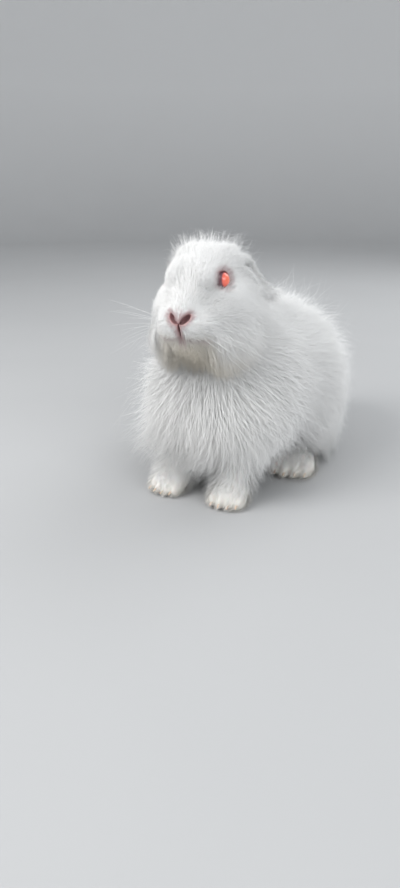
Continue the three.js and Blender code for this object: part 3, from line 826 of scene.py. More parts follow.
def horn_material(face):
    """Pale claws, with faint lines along them."""
    horn = Material("horn", Roughness=0.35, Subsurface_Weight=0.1, Subsurface_Scale=0.002)
    lines = horn.span(horn.noise(700.0, 3.0), 0.35, 0.7)
    paler = (0.8, 0.68, 0.56)
    horn.set(horn.shader, {"Base_Color": horn.mix(lines, face.horn, paler)})
    horn.bump(lines, 0.08 * MM, 0.4)
    return horn.material


def whisker_material():
    """Clear white bristle."""
    whisker = Material("whisker", Roughness=0.35)
    tone = whisker.span(whisker.noise(120.0), 0.3, 0.7)
    white, greyer = (0.9, 0.9, 0.9), (0.78, 0.78, 0.77)
    whisker.set(whisker.shader, {"Base_Color": whisker.mix(tone, white, greyer)})
    return whisker.material


def floor_material(stage):
    """A matt pale floor with a faint tooth, and a paler wall far behind."""
    floor = Material("floor", Roughness=0.85)
    tone = floor.span(floor.noise(3.0), 0.3, 0.7)
    darker = tuple(part * 0.975 for part in stage.floor)
    near = floor.mix(tone, stage.floor, darker)
    height = floor.add("ShaderNodeSeparateXYZ", out=2, Vector=floor.object_place())
    rise = floor.span(height, 0.0, stage.cove)
    floor.set(floor.shader, {"Base_Color": floor.mix(rise, near, stage.wall)})
    return floor.material


# The skin


def ear_rings(figure, sign):
    """Rings of points along an ear, a rolled leaf that lies back over the neck."""
    sizes = figure.sizes
    root = figure.from_head(figure.on_head(0.16 * sign, 0.27, 0.2))

    def reach(x, y, z):
        return root + np.array((x * sign, y, z)) * sizes.ear_length

    a, b, c, d = root, reach(0, 0.3, -0.08), reach(0.02, 0.66, -0.28), reach(0.06, 0.95, -0.36)
    opening = np.array((0.85 * sign, 0, 0.5))
    steps, sweeps = 30, 14
    rings = []
    for step in range(steps + 1):
        t = step / steps
        spot = a * (1 - t)**3 + b * 3 * t * (1 - t)**2 + c * 3 * t * t * (1 - t) + d * t**3
        along = unit((b - a) * (1 - t)**2 + (c - b) * 2 * t * (1 - t) + (d - c) * t * t)
        sideways = unit(np.cross(along, opening)) * sign
        out = unit(opening - along * (opening @ along))
        curl = 2.4 + (1.1 - 2.4) * min(1, t * 1.3)
        taper = math.sqrt(1 - t**4) * 0.95 + 0.05
        swell = 0.5 + 0.5 * math.sin(math.pi * min(1, t * 0.9 + 0.08))
        radius = sizes.ear_width * swell * taper / 2 / math.sin(min(curl, math.pi / 2))
        thick = sizes.ear_thickness * (1.0 - 0.4 * t) * (0.4 + 0.6 * taper)

        def corner(share, inset):
            turn = curl * (share * 2 - 1)
            across = sideways * math.sin(turn) * (radius - inset)
            return spot + across + out * (radius * 0.7 - math.cos(turn) * (radius - inset))

        ring = [corner(i / sweeps, 0.0) for i in range(sweeps + 1)]
        ring.append(corner(1 + 0.03 / curl, thick / 2))
        ring += [corner(i / sweeps, thick) for i in range(sweeps, -1, -1)]
        ring.append(corner(-0.03 / curl, thick / 2))
        rings.append(np.array(ring))
    return rings


def skin_shell(figure):
    """Points and faces of the whole skin without the ears."""
    low = np.array((-0.1, -0.19, -0.004))
    high = np.array((0.1, 0.2, 0.27))
    points, faces = surface_net(figure.flesh, low, high, figure.sizes.skin_cell)
    points = settle(figure.flesh, points)

    def near_face(spots):
        own = figure.to_head(spots) / figure.sizes.head
        face = (own[:, 1] < 0) & (sizes_of(own) < 0.62)
        paws = (spots[:, 2] < 0.03) & (spots[:, 1] < figure.head_at[1] + 0.05)
        return face | paws

    def near_detail(spots):
        own = figure.to_head(spots)
        eyes = np.linalg.norm(np.abs(own) * (1, 0, 0) + own * (0, 1, 1) - figure.eye_at, axis=1)
        nose = np.linalg.norm(own - figure.on_head(0, -0.5, -0.13), axis=1)
        return (eyes < 13 * MM) | (nose < 18 * MM)

    for region in (near_face, near_detail, near_detail):
        points, faces = refine(points, faces, region)
        points = settle(figure.flesh, points)
    points[:, 2] = np.maximum(points[:, 2], 0.3 * MM)
    return points, faces


class MakeSkin(Operator):
    """Makes the one skin that stands for the flesh."""

    bl_idname = "rabbit.make_skin"
    bl_label = "Make Skin"

    def execute(self, context):
        figure = Figure(context.scene.rabbit_body)
        points, faces = skin_shell(figure)
        body_count = len(points)
        ears = bundle([ear_rings(figure, sign) for sign in SIDES.values()])
        faces = [*faces, *[[i + body_count for i in face] for face in ears[1]]]
        points = np.concatenate([points, ears[0]])
        mesh = outwards(new_mesh("skin", points, faces, figure.shift))
        skin = new_piece("skin", mesh, skin_material(context.scene.rabbit_coat))
        unwrap(skin)
        comb(figure, mesh, body_count, context.scene.rabbit_coat)
        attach(skin, BODY)
        flesh = [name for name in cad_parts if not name.startswith(("eye_", "claw_"))]
        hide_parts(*flesh)
        return {"FINISHED"}


def unwrap(skin):
    """Lays the skin out flat, piece by piece, for the coat's colours."""
    bpy.context.view_layer.objects.active = skin
    skin.select_set(True)
    bpy.ops.object.mode_set(mode="EDIT")
    bpy.ops.mesh.select_all(action="SELECT")
    bpy.ops.uv.smart_project(angle_limit=math.radians(66), island_margin=0.001)
    bpy.ops.object.mode_set(mode="OBJECT")
    skin.data.uv_layers[0].name = "skin_unwrap"


# The coat


def face_zones(figure, points):
    """How much each point belongs to each place of the head. Plain limits are in head lengths."""
    own = figure.to_head(points)
    eyes = np.column_stack([np.abs(own[:, 0]), own[:, 1:]]) - figure.eye_at
    side, front, up = (own / figure.sizes.head).T
    side = np.abs(side)
    low_side = ramp(front, -0.42, -0.14) * ramp(-up, -0.02, 0.2)
    behind_eye = ramp(front, 0.08, 0.26) * ramp(-up, -0.3, -0.1)
    return {
        "cheek": np.maximum(low_side, behind_eye) * ramp(side, 0.1, 0.24),
        "jowl": ramp(-up, 0.04, 0.16) * ramp(front, -0.48, -0.38) * ramp(-front, -0.1, 0.1)
        * ramp(side, 0.1, 0.2),
        "nape": ramp(front, 0.12, 0.3) * ramp(up, 0.0, 0.14),
        "bridge": ramp(-front, 0.06, 0.24) * ramp(front, -0.44, -0.36) * ramp(up, 0.0, 0.1)
        * (1 - ramp(side, 0.0, 0.2)),
        "chin": ramp(-up, 0.18, 0.3) * ramp(front, -0.5, -0.3) * ramp(-side, -0.44, -0.26),
        "crown": ramp(up, 0.16, 0.32) * ramp(front, -0.05, 0.2),
        "muzzle": ramp(-front, 0.2, 0.42),
        "eye": 1 - ramp(sizes_of(eyes), 10 * MM, 28 * MM),
    }


def lie_of(figure, points, normals, weights):
    """The direction in which the coat lies at each point."""
    body = np.stack([
        normals[:, 0] * 0.2,
        np.full(len(points), 0.8),
        -0.6 * (1 - normals[:, 2]),
    ], axis=1)
    own = figure.to_head(points)
    zones = face_zones(figure, points)
    from_nose = unit(own - figure.on_head(0, -0.5, -0.06))
    rear = ramp(own[:, 1] / figure.sizes.head, -0.3, 0.2)[:, None]
    head = (from_nose + rear * (0, 0.6, -0.35)) @ figure.turn.T
    head += zones["chin"][:, None] * ((0, 0.3, -1.4) - head)
    head += zones["cheek"][:, None] * (0, 0, -0.35)
    lies = {
        "head": head, "neck": body, "trunk": body, "haunch": body,
        "foreleg": np.array((0, 0.15, -1.0)), "forepaw": np.array((0, -1.0, -0.45)),
        "hind_foot": np.array((0, -1.0, -0.3)),
        "tail": np.array((0, 0.5, -0.8)),
    }
    total = sum(weights[name][:, None] * lies[name] for name in weights)
    return flat_on(total, normals)


def weights_of(figure, points):
    """How much each kind of part counts at each point. They add up to 1."""
    weights = {}
    for name, shape in figure.parts.items():
        kind = name.replace("_left", "").replace("_right", "")
        near = np.exp(-np.maximum(shape(points)[0], 0) / (5 * MM))
        weights[kind] = weights.get(kind, 0) + near
    total = sum(weights.values()) + 1e-12
    return {kind: weight / total for kind, weight in weights.items()}


def coat_sizes(figure, points, zones, weights, coat):
    """Length and depth of the coat at each point."""
    short = (1 - 0.5 * zones["muzzle"]) * (1 - 0.5 * zones["eye"])
    reach, depth = coat.face * short, coat.face_depth * short
    for zone, (added_reach, added_depth) in ADDED_ON_HEAD.items():
        reach = reach + zones[zone] * added_reach
        depth = depth + zones[zone] * added_depth
    longer = np.maximum(zones["cheek"], 0.85 * zones["chin"])
    reach = reach + longer * (coat.cheek - reach)
    reach = reach + zones["jowl"] * (coat.jowl - reach)
    depth = depth + longer * (coat.cheek_depth - depth)
    throat = 0.3 + 0.7 * ramp(figure.parts["head"](points)[0], 4 * MM, 34 * MM)
    behind = ramp(figure.to_head(points)[:, 2] / figure.sizes.head, -0.15, 0.1)
    throat = np.maximum(throat, 0.7 * behind)
    off_tail = ramp(figure.parts["tail"](points)[0], 4 * MM, 30 * MM)
    closer = (1 - 0.5 * ramp(points[:, 1], 0.09, 0.15)) * (0.55 + 0.45 * off_tail)
    sizes = {
        "head": (reach, depth),
        "neck": (coat.ruff * throat, coat.ruff_depth * throat),
        "trunk": (coat.wool, coat.wool_depth * closer),
        "haunch": (coat.haunch, coat.haunch_depth),
        **SMALL_PARTS,
    }
    return [sum(weights[name] * sizes[name][i] for name in weights) for i in range(2)]


def comb(figure, mesh, body_count, coat):
    """Gives the skin what the tufts need: where each bends and ends, and how many grow."""
    points = points_of(mesh) - figure.shift
    normals = np.zeros(len(points) * 3, np.float32)
    mesh.vertices.foreach_get("normal", normals)
    normals = normals.reshape(-1, 3).astype(float)
    weights = weights_of(figure, points)
    zones = face_zones(figure, points)
    reach, depth = coat_sizes(figure, points, zones, weights, coat)
    own = figure.to_head(points)
    start, rise = figure.smooth(points)
    spot, half = points, points
    steps = 6
    hang = (0.8 * np.maximum(zones["chin"], zones["jowl"]) * weights["head"])[:, None]
    down = own[:, :1] * (19, 0, 0) + (0, 0, -1)  # lower cheeks hang outwards, the chin straight
    for step in range(1, steps + 1):
        here = weights if step == 1 else weights_of(figure, spot)
        along = lie_of(figure, spot, unit(rise), here)
        along = unit(along + hang * (down - along))
        spot = spot + along * (reach / steps)[:, None]
        height = start + (depth - start) * (step / steps) ** 0.75
        distance, rise = figure.smooth(spot)
        spot = spot + (1 - hang) * unit(rise) * (height - distance)[:, None]
        spot[:, 2] = np.maximum(spot[:, 2], 3 * MM)
        if step == steps // 2:
            half = spot.copy()
    tip = spot - points
    middle = 2 * (half - points) - 0.5 * tip
    ear = np.arange(len(points)) >= body_count
    comb_ears(figure, points, normals, ear, middle, tip)
    hairless, tints = bare_places(figure, own, ear)
    grown = (1 - hairless) * (points[:, 2] > 1.2 * MM) * (1 - ear)
    for name, weight in regions_of(figure, points, own, zones, weights).items():
        put_numbers(mesh, "grow_" + name, weight * grown)
    free = np.zeros(len(points))
    free[ear] = figure.flesh(points[ear])[0] >= 0
    put_numbers(mesh, "grow_ears", free)
    put_vectors(mesh, "facing", unit(normals + facing_of(figure, own, zones, weights)))
    put_vectors(mesh, "tuft_middle", middle)
    put_vectors(mesh, "tuft_tip", tip)
    for name, values in tints.items():
        put_numbers(mesh, name, values)
    put_numbers(mesh, "cream", cream_places(figure, own, points, weights, ear))


def regions_of(figure, points, own, zones, weights):
    """How densely each piece of the coat grows at each point."""
    left = ramp(points[:, 0], -8 * MM, 8 * MM)
    rear = ramp(points[:, 1], 5 * MM, 25 * MM)
    front = ramp(-own[:, 1] / figure.sizes.head, -0.2, 0.0)
    crown = ramp(own[:, 2] / figure.sizes.head, 0.2, 0.36) * weights["head"]
    thick = weights["head"] * front * (1 + zones["jowl"])
    loose = 4 * crown + 0.6 * weights["head"] * (1 - front) + weights["neck"]
    return {
        "face_left": thick * left,
        "face_right": thick * (1 - left),
        "head_back": weights["head"] * (1 - front),
        "ruff": weights["neck"],
        "chest_left": weights["trunk"] * (1 - rear) * left,
        "chest_right": weights["trunk"] * (1 - rear) * (1 - left),
        "rump_left": weights["trunk"] * rear * left,
        "rump_right": weights["trunk"] * rear * (1 - left),
        "haunch_left": weights["haunch"] * left,
        "haunch_right": weights["haunch"] * (1 - left),
        "legs": weights["foreleg"] + weights["forepaw"] + weights["hind_foot"],
        "tail": weights["tail"],
        "wisps": loose + 0.8 * weights["trunk"] + 0.8 * weights["haunch"],
        "fringe": crown,
    }


def facing_of(figure, own, zones, weights):
    """How the hanging fur of the jowls and chin turns its light side out and forwards."""
    side, front, up = (own / figure.sizes.head).T
    outer = zones["jowl"] * ramp(np.abs(side), 0.06, 0.24)
    below = ramp(-front, 0.2, 0.4) * ramp(-up, 0.1, 0.18) * (1 - ramp(-up, 0.2, 0.42))
    out = np.sign(own[:, :1]) * (1, 0, 0) + (0, -0.6, 0.5)
    turn = 2.6 * outer[:, None] * out + 0.9 * below[:, None] * (0, -1, 0.5)
    return turn * weights["head"][:, None]


def comb_ears(figure, points, normals, ear, middle, tip):
    """Lays the fur of the ears towards their tips, longer at the edge and the tip."""
    spots = points[ear]
    if not len(spots):
        return
    root = figure.from_head(figure.on_head(0, 0.27, 0.2))
    far = np.linalg.norm(spots - root, axis=1) / figure.sizes.ear_length
    along = flat_on(np.repeat([(0, 1.0, -0.4)], len(spots), axis=0), normals[ear])
    reach = (11 + 16 * ramp(far, 0.6, 1.0)) * MM
    tip[ear] = along * reach[:, None] + normals[ear] * (reach * 0.14)[:, None]
    middle[ear] = along * (reach * 0.45)[:, None] + normals[ear] * (reach * 0.2)[:, None]


def bare_places(figure, own, ear):
    """Where no fur grows, and how bare, darkened or pink the skin is round those places; the
    darkening is partly painted shade, and the pink tint along the mouth is painted shade.
    """
    hairless = np.zeros(len(own))
    tints = {name: np.zeros(len(own)) for name in ("bare", "dusky", "blush")}

    def add(name, amount, distance, low, high):
        """Tints a place fully up to one distance, and fades until another."""
        fading = amount * (1 - ramp(distance, low, high))
        tints[name] = np.maximum(tints[name], fading)

    for sign in SIDES.values():
        centre, axes = figure.eye_frame(sign)
        along, up, out = ((own - centre) @ axes.T).T
        off_axis = np.where(out > 0, np.hypot((along - 2.6 * MM) / 1.26, (up - 0.4 * MM) / 1.04), 1)
        hairless = np.maximum(hairless, 1 - ramp(off_axis, 8.5 * MM, 9.6 * MM))
        add("bare", 1, off_axis, 8.5 * MM, 10.0 * MM)
        # Painted shade, partly the lids' own darker skin: the eye's corners and lids are darkened.
        add("dusky", 1, off_axis, 7.6 * MM, 10.0 * MM)
        add("blush", 0.7, off_axis, 9.0 * MM, 12.5 * MM)
    for slit in figure.slits[:3]:
        distance = slit(own)[0]
        hairless = np.maximum(hairless, 1 - ramp(distance, 0.1 * MM, 0.9 * MM))
        add("bare", 1, distance, 0.2 * MM, 2.4 * MM)
        # Painted shade, partly their own darker skin, inside the nostrils.
        add("dusky", 0.85, distance, -0.3 * MM, 1.5 * MM)
        add("blush", 0.85, distance, 0.6 * MM, 4.2 * MM)
    middle = sizes_of(own - figure.on_head(0, -0.52, -0.085))
    hairless = np.maximum(hairless, 1 - ramp(middle, 2.0 * MM, 3.2 * MM))
    add("bare", 1, middle, 2.4 * MM, 4.8 * MM)
    # Painted shade, partly darker skin, where the nostrils meet the cleft.
    add("dusky", 0.65, middle, 1.0 * MM, 4.4 * MM)
    # Painted shade along the line of the mouth, in the pink tint.
    lips = figure.slits[3](own)[0]
    add("blush", 0.3, lips, 0.2 * MM, 3.0 * MM)
    for name in tints:
        tints[name][ear] = 0
    hairless[ear] = 0
    return hairless, tints


def cream_places(figure, own, points, weights, ear):
    """Where the coat is yellowed: under the chin, on the paws and round the lips."""
    up = own[:, 2] / figure.sizes.head
    front = own[:, 1] / figure.sizes.head
    side = np.abs(own[:, 0]) / figure.sizes.head
    chin = ramp(-up, 0.1, 0.38) * ramp(-front, -0.15, 0.15) * weights["head"]
    chin *= 1 - 0.7 * ramp(side, 0.14, 0.4)
    toes = weights["forepaw"] * 0.35 + weights["hind_foot"] * 0.4
    low = 1 - ramp(points[:, 2], 0.004, 0.02)
    return np.clip(0.68 * chin + toes * (0.25 + 0.75 * low), 0, 1) * (1 - ear)


def put_numbers(mesh, name, values):
    """Stores one number for each point of a mesh."""
    layer = mesh.attributes.new(name, "FLOAT", "POINT")
    layer.data.foreach_set("value", np.asarray(values, np.float32))


def put_vectors(mesh, name, values):
    """Stores one vector for each point of a mesh."""
    layer = mesh.attributes.new(name, "FLOAT_VECTOR", "POINT")
    layer.data.foreach_set("vector", np.asarray(values, np.float32).ravel())


class Growth:
    """Builds a Geometry Nodes tree in short lines."""

    def __init__(self, name):
        self.tree = bpy.data.node_groups.new(name, "GeometryNodeTree")

    def socket(self, name, kind, default=None, in_out="INPUT"):
        """A named socket on the outside of the tree."""
        socket = self.tree.interface.new_socket(name, in_out=in_out, socket_type=kind)
        if default is not None:
            socket.default_value = default

    def add(self, kind, settings=None, out=0, **inputs):
        """Adds a node and gives its output."""
        node = self.tree.nodes.new(kind)
        node.location = (len(self.tree.nodes) * 180, 0)
        for key, value in (settings or {}).items():
            setattr(node, key, value)
        for name, value in inputs.items():
            self.put(node, name.replace("_", " "), value)
        return [s for s in node.outputs if s.enabled][out]

    def put(self, node, name, value):
        """Sets or links an input by its name or its number."""
        sockets = [s for s in node.inputs if s.enabled]
        socket = sockets[name] if isinstance(name, int) else next(
            s for s in sockets if s.name == name
        )
        if isinstance(value, bpy.types.NodeSocket):
            self.tree.links.new(value, socket)
        else:
            socket.default_value = value

    def maths(self, operation, *values):
        """A sum on numbers."""
        node = self.tree.nodes.new("ShaderNodeMath")
        node.operation = operation
        for number, value in enumerate(values):
            self.put(node, number, value)
        return node.outputs[0]

    def vectors(self, operation, *values):
        """A sum on vectors."""
        node = self.tree.nodes.new("ShaderNodeVectorMath")
        node.operation = operation
        for number, value in enumerate(values):
            self.put(node, number, value)
        return next(s for s in node.outputs if s.enabled)

    def product(self, *values):
        """Numbers multiplied together."""
        total = values[0]
        for value in values[1:]:
            total = self.maths("MULTIPLY", total, value)
        return total

    def total(self, *values):
        """Vectors added together."""
        total = values[0]
        for value in values[1:]:
            total = self.vectors("ADD", total, value)
        return total

    def times(self, vector, number):
        """A vector scaled by a number."""
        node = self.tree.nodes.new("ShaderNodeVectorMath")
        node.operation = "SCALE"
        self.put(node, 0, vector)
        self.put(node, "Scale", number)
        return node.outputs[0]

    def named(self, name, kind="FLOAT_VECTOR"):
        """What the points carry under a name."""
        node = self.tree.nodes.new("GeometryNodeInputNamedAttribute")
        node.data_type = kind
        self.put(node, "Name", name)
        return next(s for s in node.outputs if s.enabled)

    def store(self, geometry, name, value, kind="FLOAT_VECTOR", domain="POINT"):
        """Gives the points something to carry under a name."""
        return self.add(
            "GeometryNodeStoreNamedAttribute", {"data_type": kind, "domain": domain},
            Geometry=geometry, Name=name, Value=value,
        )

    def draw(self, low, high, seed):
        """A random number for each point."""
        return self.add(
            "FunctionNodeRandomValue", {"data_type": "FLOAT"}, Min=low, Max=high, Seed=seed,
        )


# What the tree of a tuft asks for: kind of socket and first value
TUFT_SOCKETS = {
    "Skin": ("Geometry", None), "Grow": ("String", "grow_face_left"), "Density": ("Float", 1000.0),
    "Width": ("Float", 1.0 * MM), "Flatness": ("Float", 0.45), "Bends": ("Int", 3),
    "Spread": ("Float", 0.3), "Swirl": ("Float", 0.3), "Clump": ("Float", 10 * MM),
    "Lift": ("Float", 0.1), "Wave": ("Float", 0.05), "Stretch": ("Float", 1.0),
    "Seed": ("Int", 1), "Lowest": ("Vector", None), "Highest": ("Vector", None),
    "Yield": ("Float", 18 * MM), "Softness": ("Float", 0.9), "Material": ("Material", None),
}


def tuft_tree():
    """A tree that grows flat tapered tufts, each bent from its root over the skin to its tip."""
    grow = Growth("tufts")
    for name, (kind, default) in TUFT_SOCKETS.items():
        grow.socket(name, "NodeSocket" + kind, default)
    grow.socket("Tufts", "NodeSocketGeometry", in_out="OUTPUT")
    entry = grow.tree.nodes.new("NodeGroupInput").outputs
    roots = tuft_roots(grow, entry)
    cone = grow.add(
        "GeometryNodeMeshCone", {"fill_type": "NGON"},
        Vertices=3, Side_Segments=entry["Bends"], Radius_Top=0.0, Radius_Bottom=1.0, Depth=1.0,
    )
    cone = grow.store(cone, "own", grow.add("GeometryNodeInputPosition"))
    tufts = grow.add("GeometryNodeInstanceOnPoints", Points=roots, Instance=cone)
    tufts = grow.add("GeometryNodeRealizeInstances", Geometry=tufts)
    tufts = grow.add("GeometryNodeSetPosition", Geometry=tufts, Position=tuft_place(grow, entry))
    patch = grow.vectors("MULTIPLY", grow.named("own"), (HALF_PATCH, HALF_PATCH, 0.0))
    place = grow.vectors("ADD", grow.named("skin_unwrap"), patch)
    tufts = grow.store(tufts, "OFBake", place, "FLOAT2", "CORNER")
    tufts = grow.add("GeometryNodeSetShadeSmooth", Geometry=tufts)
    fluffy = grow.times(grow.named("outwards"), entry["Softness"])
    fluffy = grow.vectors("ADD", grow.add("GeometryNodeInputNormal"), fluffy)
    tufts = grow.add(
        "GeometryNodeSetMeshNormal", {"mode": "FREE", "domain": "POINT"},
        Mesh=tufts, Custom_Normal=grow.vectors("NORMALIZE", fluffy),
    )
    tufts = grow.add("GeometryNodeSetMaterial", Geometry=tufts, Material=entry["Material"])
    leave = grow.tree.nodes.new("NodeGroupOutput")
    grow.tree.links.new(tufts, leave.inputs[0])
    return grow.tree


def tuft_roots(grow, entry):
    """Points on the skin that carry where their tuft bends and ends."""
    chance = grow.product(grow.named(entry["Grow"], "FLOAT"), entry["Density"])
    spread = grow.tree.nodes.new("GeometryNodeDistributePointsOnFaces")
    spread.distribute_method = "RANDOM"
    for name, value in (("Mesh", entry["Skin"]), ("Density", chance), ("Seed", entry["Seed"])):
        grow.put(spread, name, value)
    roots, normal = spread.outputs["Points"], spread.outputs["Normal"]
    size_seed, lift_seed, phase_seed = (
        grow.maths("ADD", entry["Seed"], step) for step in (1.0, 2.0, 3.0)
    )
    scale = grow.maths("DIVIDE", 1.0, entry["Clump"])

    def noise(kind, **place):
        """A number round zero that tufts close to one another share."""
        cloud = grow.add(
            "ShaderNodeTexNoise", {"noise_dimensions": kind}, Scale=scale, Detail=1.0, **place,
        )
        return grow.product(grow.maths("SUBTRACT", cloud, 0.5), 3.0)

    turn = grow.draw(grow.product(entry["Spread"], -1.0), entry["Spread"], entry["Seed"])
    turn = grow.maths("ADD", turn, grow.product(noise("3D"), entry["Swirl"]))
    size = grow.product(grow.draw(0.72, 1.16, size_seed), entry["Stretch"])
    lift = grow.draw(grow.product(entry["Lift"], -0.6), entry["Lift"], lift_seed)
    lift = grow.maths("ADD", lift, grow.product(entry["Lift"], 0.6, noise("4D", W=5.0)))
    reach = grow.vectors("LENGTH", grow.named("tuft_tip"))
    upward = grow.times(normal, grow.product(reach, lift))

    def combed(name):
        """A tuft's own bend or tip: turned about its root, stretched and lifted."""
        turned = grow.add(
            "ShaderNodeVectorRotate", {"rotation_type": "AXIS_ANGLE"},
            Vector=grow.named(name), Axis=normal, Angle=turn,
        )
        return grow.vectors("ADD", grow.times(turned, size), upward)

    middle, tip = combed("tuft_middle"), combed("tuft_tip")
    aside = grow.vectors("NORMALIZE", grow.vectors("CROSS_PRODUCT", tip, normal))
    above = grow.vectors("NORMALIZE", grow.vectors("CROSS_PRODUCT", tip, aside))
    carried = {
        "to_middle": middle, "to_tip": tip, "aside": aside, "above": above,
        "outwards": grow.named("facing"),
    }
    for name, value in carried.items():
        roots = grow.store(roots, name, value)
    return grow.store(roots, "phase", grow.draw(0.0, 6.28, phase_seed), "FLOAT")


def tuft_place(grow, entry):
    """Where each point of a straight cone goes to make a bent tuft that stays in the box."""
    own = grow.named("own")
    parts = grow.tree.nodes.new("ShaderNodeSeparateXYZ")
    grow.put(parts, 0, own)
    across, through, along = parts.outputs
    root = grow.vectors("SUBTRACT", grow.add("GeometryNodeInputPosition"), own)
    bend = grow.product(grow.maths("SUBTRACT", 2.0, grow.product(along, 2.0)), along)
    fullness = grow.product(grow.maths("ADD", along, 1.0), entry["Width"])
    swing = grow.maths("ADD", grow.product(along, 4.5), grow.named("phase", "FLOAT"))
    swing = grow.product(grow.maths("SINE", swing), along, entry["Wave"])
    swing = grow.product(swing, grow.vectors("LENGTH", grow.named("to_tip")))
    wide = grow.maths("ADD", grow.product(across, fullness), swing)
    thick = grow.product(through, fullness, entry["Flatness"])
    place = grow.total(
        root,
        grow.times(grow.named("to_middle"), bend),
        grow.times(grow.named("to_tip"), grow.product(along, along)),
        grow.times(grow.named("aside"), wide),
        grow.times(grow.named("above"), thick),
    )
    inner = grow.vectors("MAXIMUM", place, entry["Lowest"])
    inner = grow.vectors("MINIMUM", inner, entry["Highest"])
    over = grow.vectors("SUBTRACT", place, inner)
    slack = grow.times((1.0, 1.0, 1.0), entry["Yield"])
    give = grow.vectors("ADD", grow.vectors("ABSOLUTE", over), slack)
    eased = grow.times(grow.vectors("DIVIDE", over, give), entry["Yield"])
    return grow.vectors("MAXIMUM", grow.vectors("ADD", inner, eased), (-1.0, -1.0, 1 * MM))


def grown_area(mesh, name):
    """The skin's area in square metres, counting each place by how much grows there."""
    mesh.calc_loop_triangles()
    corners = np.zeros(len(mesh.loop_triangles) * 3, np.int32)
    mesh.loop_triangles.foreach_get("vertices", corners)
    corners = corners.reshape(-1, 3)
    a, b, c = (points_of(mesh)[corners[:, i]] for i in range(3))
    areas = np.linalg.norm(np.cross(b - a, c - a), axis=1) / 2
    grows = np.zeros(len(mesh.vertices), np.float32)
    mesh.attributes[name].data.foreach_get("value", grows)
    return float((areas * grows[corners].mean(axis=1)).sum())


def grow_tufts(name, tree, material, region, count, settings):
    """Grows one piece of the coat and makes it a plain mesh."""
    skin = bpy.data.objects["skin"]
    host = bpy.data.objects.new("growing", skin.data)
    bpy.context.scene.collection.objects.link(host)
    modifier = host.modifiers.new("tufts", "NODES")
    modifier.node_group = tree
    values = {
        "Grow": "grow_" + region, "Material": material,
        "Lowest": tuple(np.array(CAD_BOX[0]) + ROOM_LOW),
        "Highest": tuple(np.array(CAD_BOX[1]) + ROOM_HIGH),
        "Density": count / grown_area(skin.data, "grow_" + region), **settings,
    }
    for item in tree.interface.items_tree:
        if item.in_out == "INPUT" and item.name in values:
            modifier[item.identifier] = values[item.name]
    bpy.context.view_layer.update()
    graph = bpy.context.evaluated_depsgraph_get()
    mesh = bpy.data.meshes.new_from_object(
        host.evaluated_get(graph), preserve_all_data_layers=True, depsgraph=graph,
    )
    bpy.data.objects.remove(host)
    kept = {
        "position", "cream", "blush", "OFBake", "custom_normal", "sharp_face", "material_index",
    }
    spare = [a.name for a in mesh.attributes if a.name not in kept and a.name[0] != "."]
    for attribute in spare:
        mesh.attributes.remove(mesh.attributes[attribute])
    mesh.name = name
    piece = bpy.data.objects.new(name, mesh)
    bpy.context.scene.collection.objects.link(piece)
    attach(piece, BODY)
    return piece


class MakeCoat(Operator):
    """Grows the coat in tufts over the skin."""

    bl_idname = "rabbit.make_coat"
    bl_label = "Make Coat"

    def execute(self, context):
        coat = context.scene.rabbit_coat
        material = coat_material(coat)
        tree = tuft_tree()
        fine = {
            "Bends": 2, "Width": 0.19 * MM, "Spread": 0.3, "Lift": 0.1, "Wave": 0.04,
            "Swirl": 0.15, "Clump": 9 * MM,
        }
        soft = {
            "Bends": 2, "Width": 0.27 * MM, "Spread": 0.35, "Lift": 0.14, "Wave": 0.12,
            "Swirl": 0.6, "Clump": 20 * MM, "Softness": 1.5,
        }
        wisp = {
            "Bends": 2, "Width": 0.11 * MM, "Spread": 0.9, "Lift": 0.45, "Wave": 0.15,
            "Stretch": 1.1, "Swirl": 0.3, "Clump": 12 * MM,
        }
        spiky = {
            "Bends": 2, "Width": 0.1 * MM, "Spread": 1.3, "Lift": 1.1, "Wave": 0.08,
            "Swirl": 0.4, "Clump": 8 * MM,
        }
        pieces = {
            "face_left": ("face_fur", fine, coat.face_tufts * 0.29),
            "face_right": ("face_fur", fine, coat.face_tufts * 0.29),
            "head_back": ("face_fur", fine, coat.face_tufts * 0.24),
            "ears": ("face_fur", {**fine, "Lift": 0.18, "Spread": 0.35}, coat.face_tufts * 0.18),
            "ruff": ("wool", soft, coat.wool_tufts * 0.12),
            "chest_left": ("wool", soft, coat.wool_tufts * 0.14),
            "chest_right": ("wool", soft, coat.wool_tufts * 0.14),
            "rump_left": ("wool", soft, coat.wool_tufts * 0.12),
            "rump_right": ("wool", soft, coat.wool_tufts * 0.12),
            "haunch_left": ("wool", soft, coat.wool_tufts * 0.1),
            "haunch_right": ("wool", soft, coat.wool_tufts * 0.1),
            "legs": ("paw_fur", fine, coat.wool_tufts * 0.14),
            "tail": ("wool", {**soft, "Lift": 0.5, "Spread": 0.8}, coat.wool_tufts * 0.035),
            "wisps": ("wool", wisp, coat.wool_tufts * 0.11),
            "fringe": ("wool", spiky, coat.wool_tufts * 0.022),
        }
        for number, (region, (slot, settings, count)) in enumerate(pieces.items()):
            piece = grow_tufts("coat_" + region, tree, material, region, count, {
                **settings, "Seed": 10 + number * 7,
            })
        return {"FINISHED"}


# Eyes, claws and whiskers


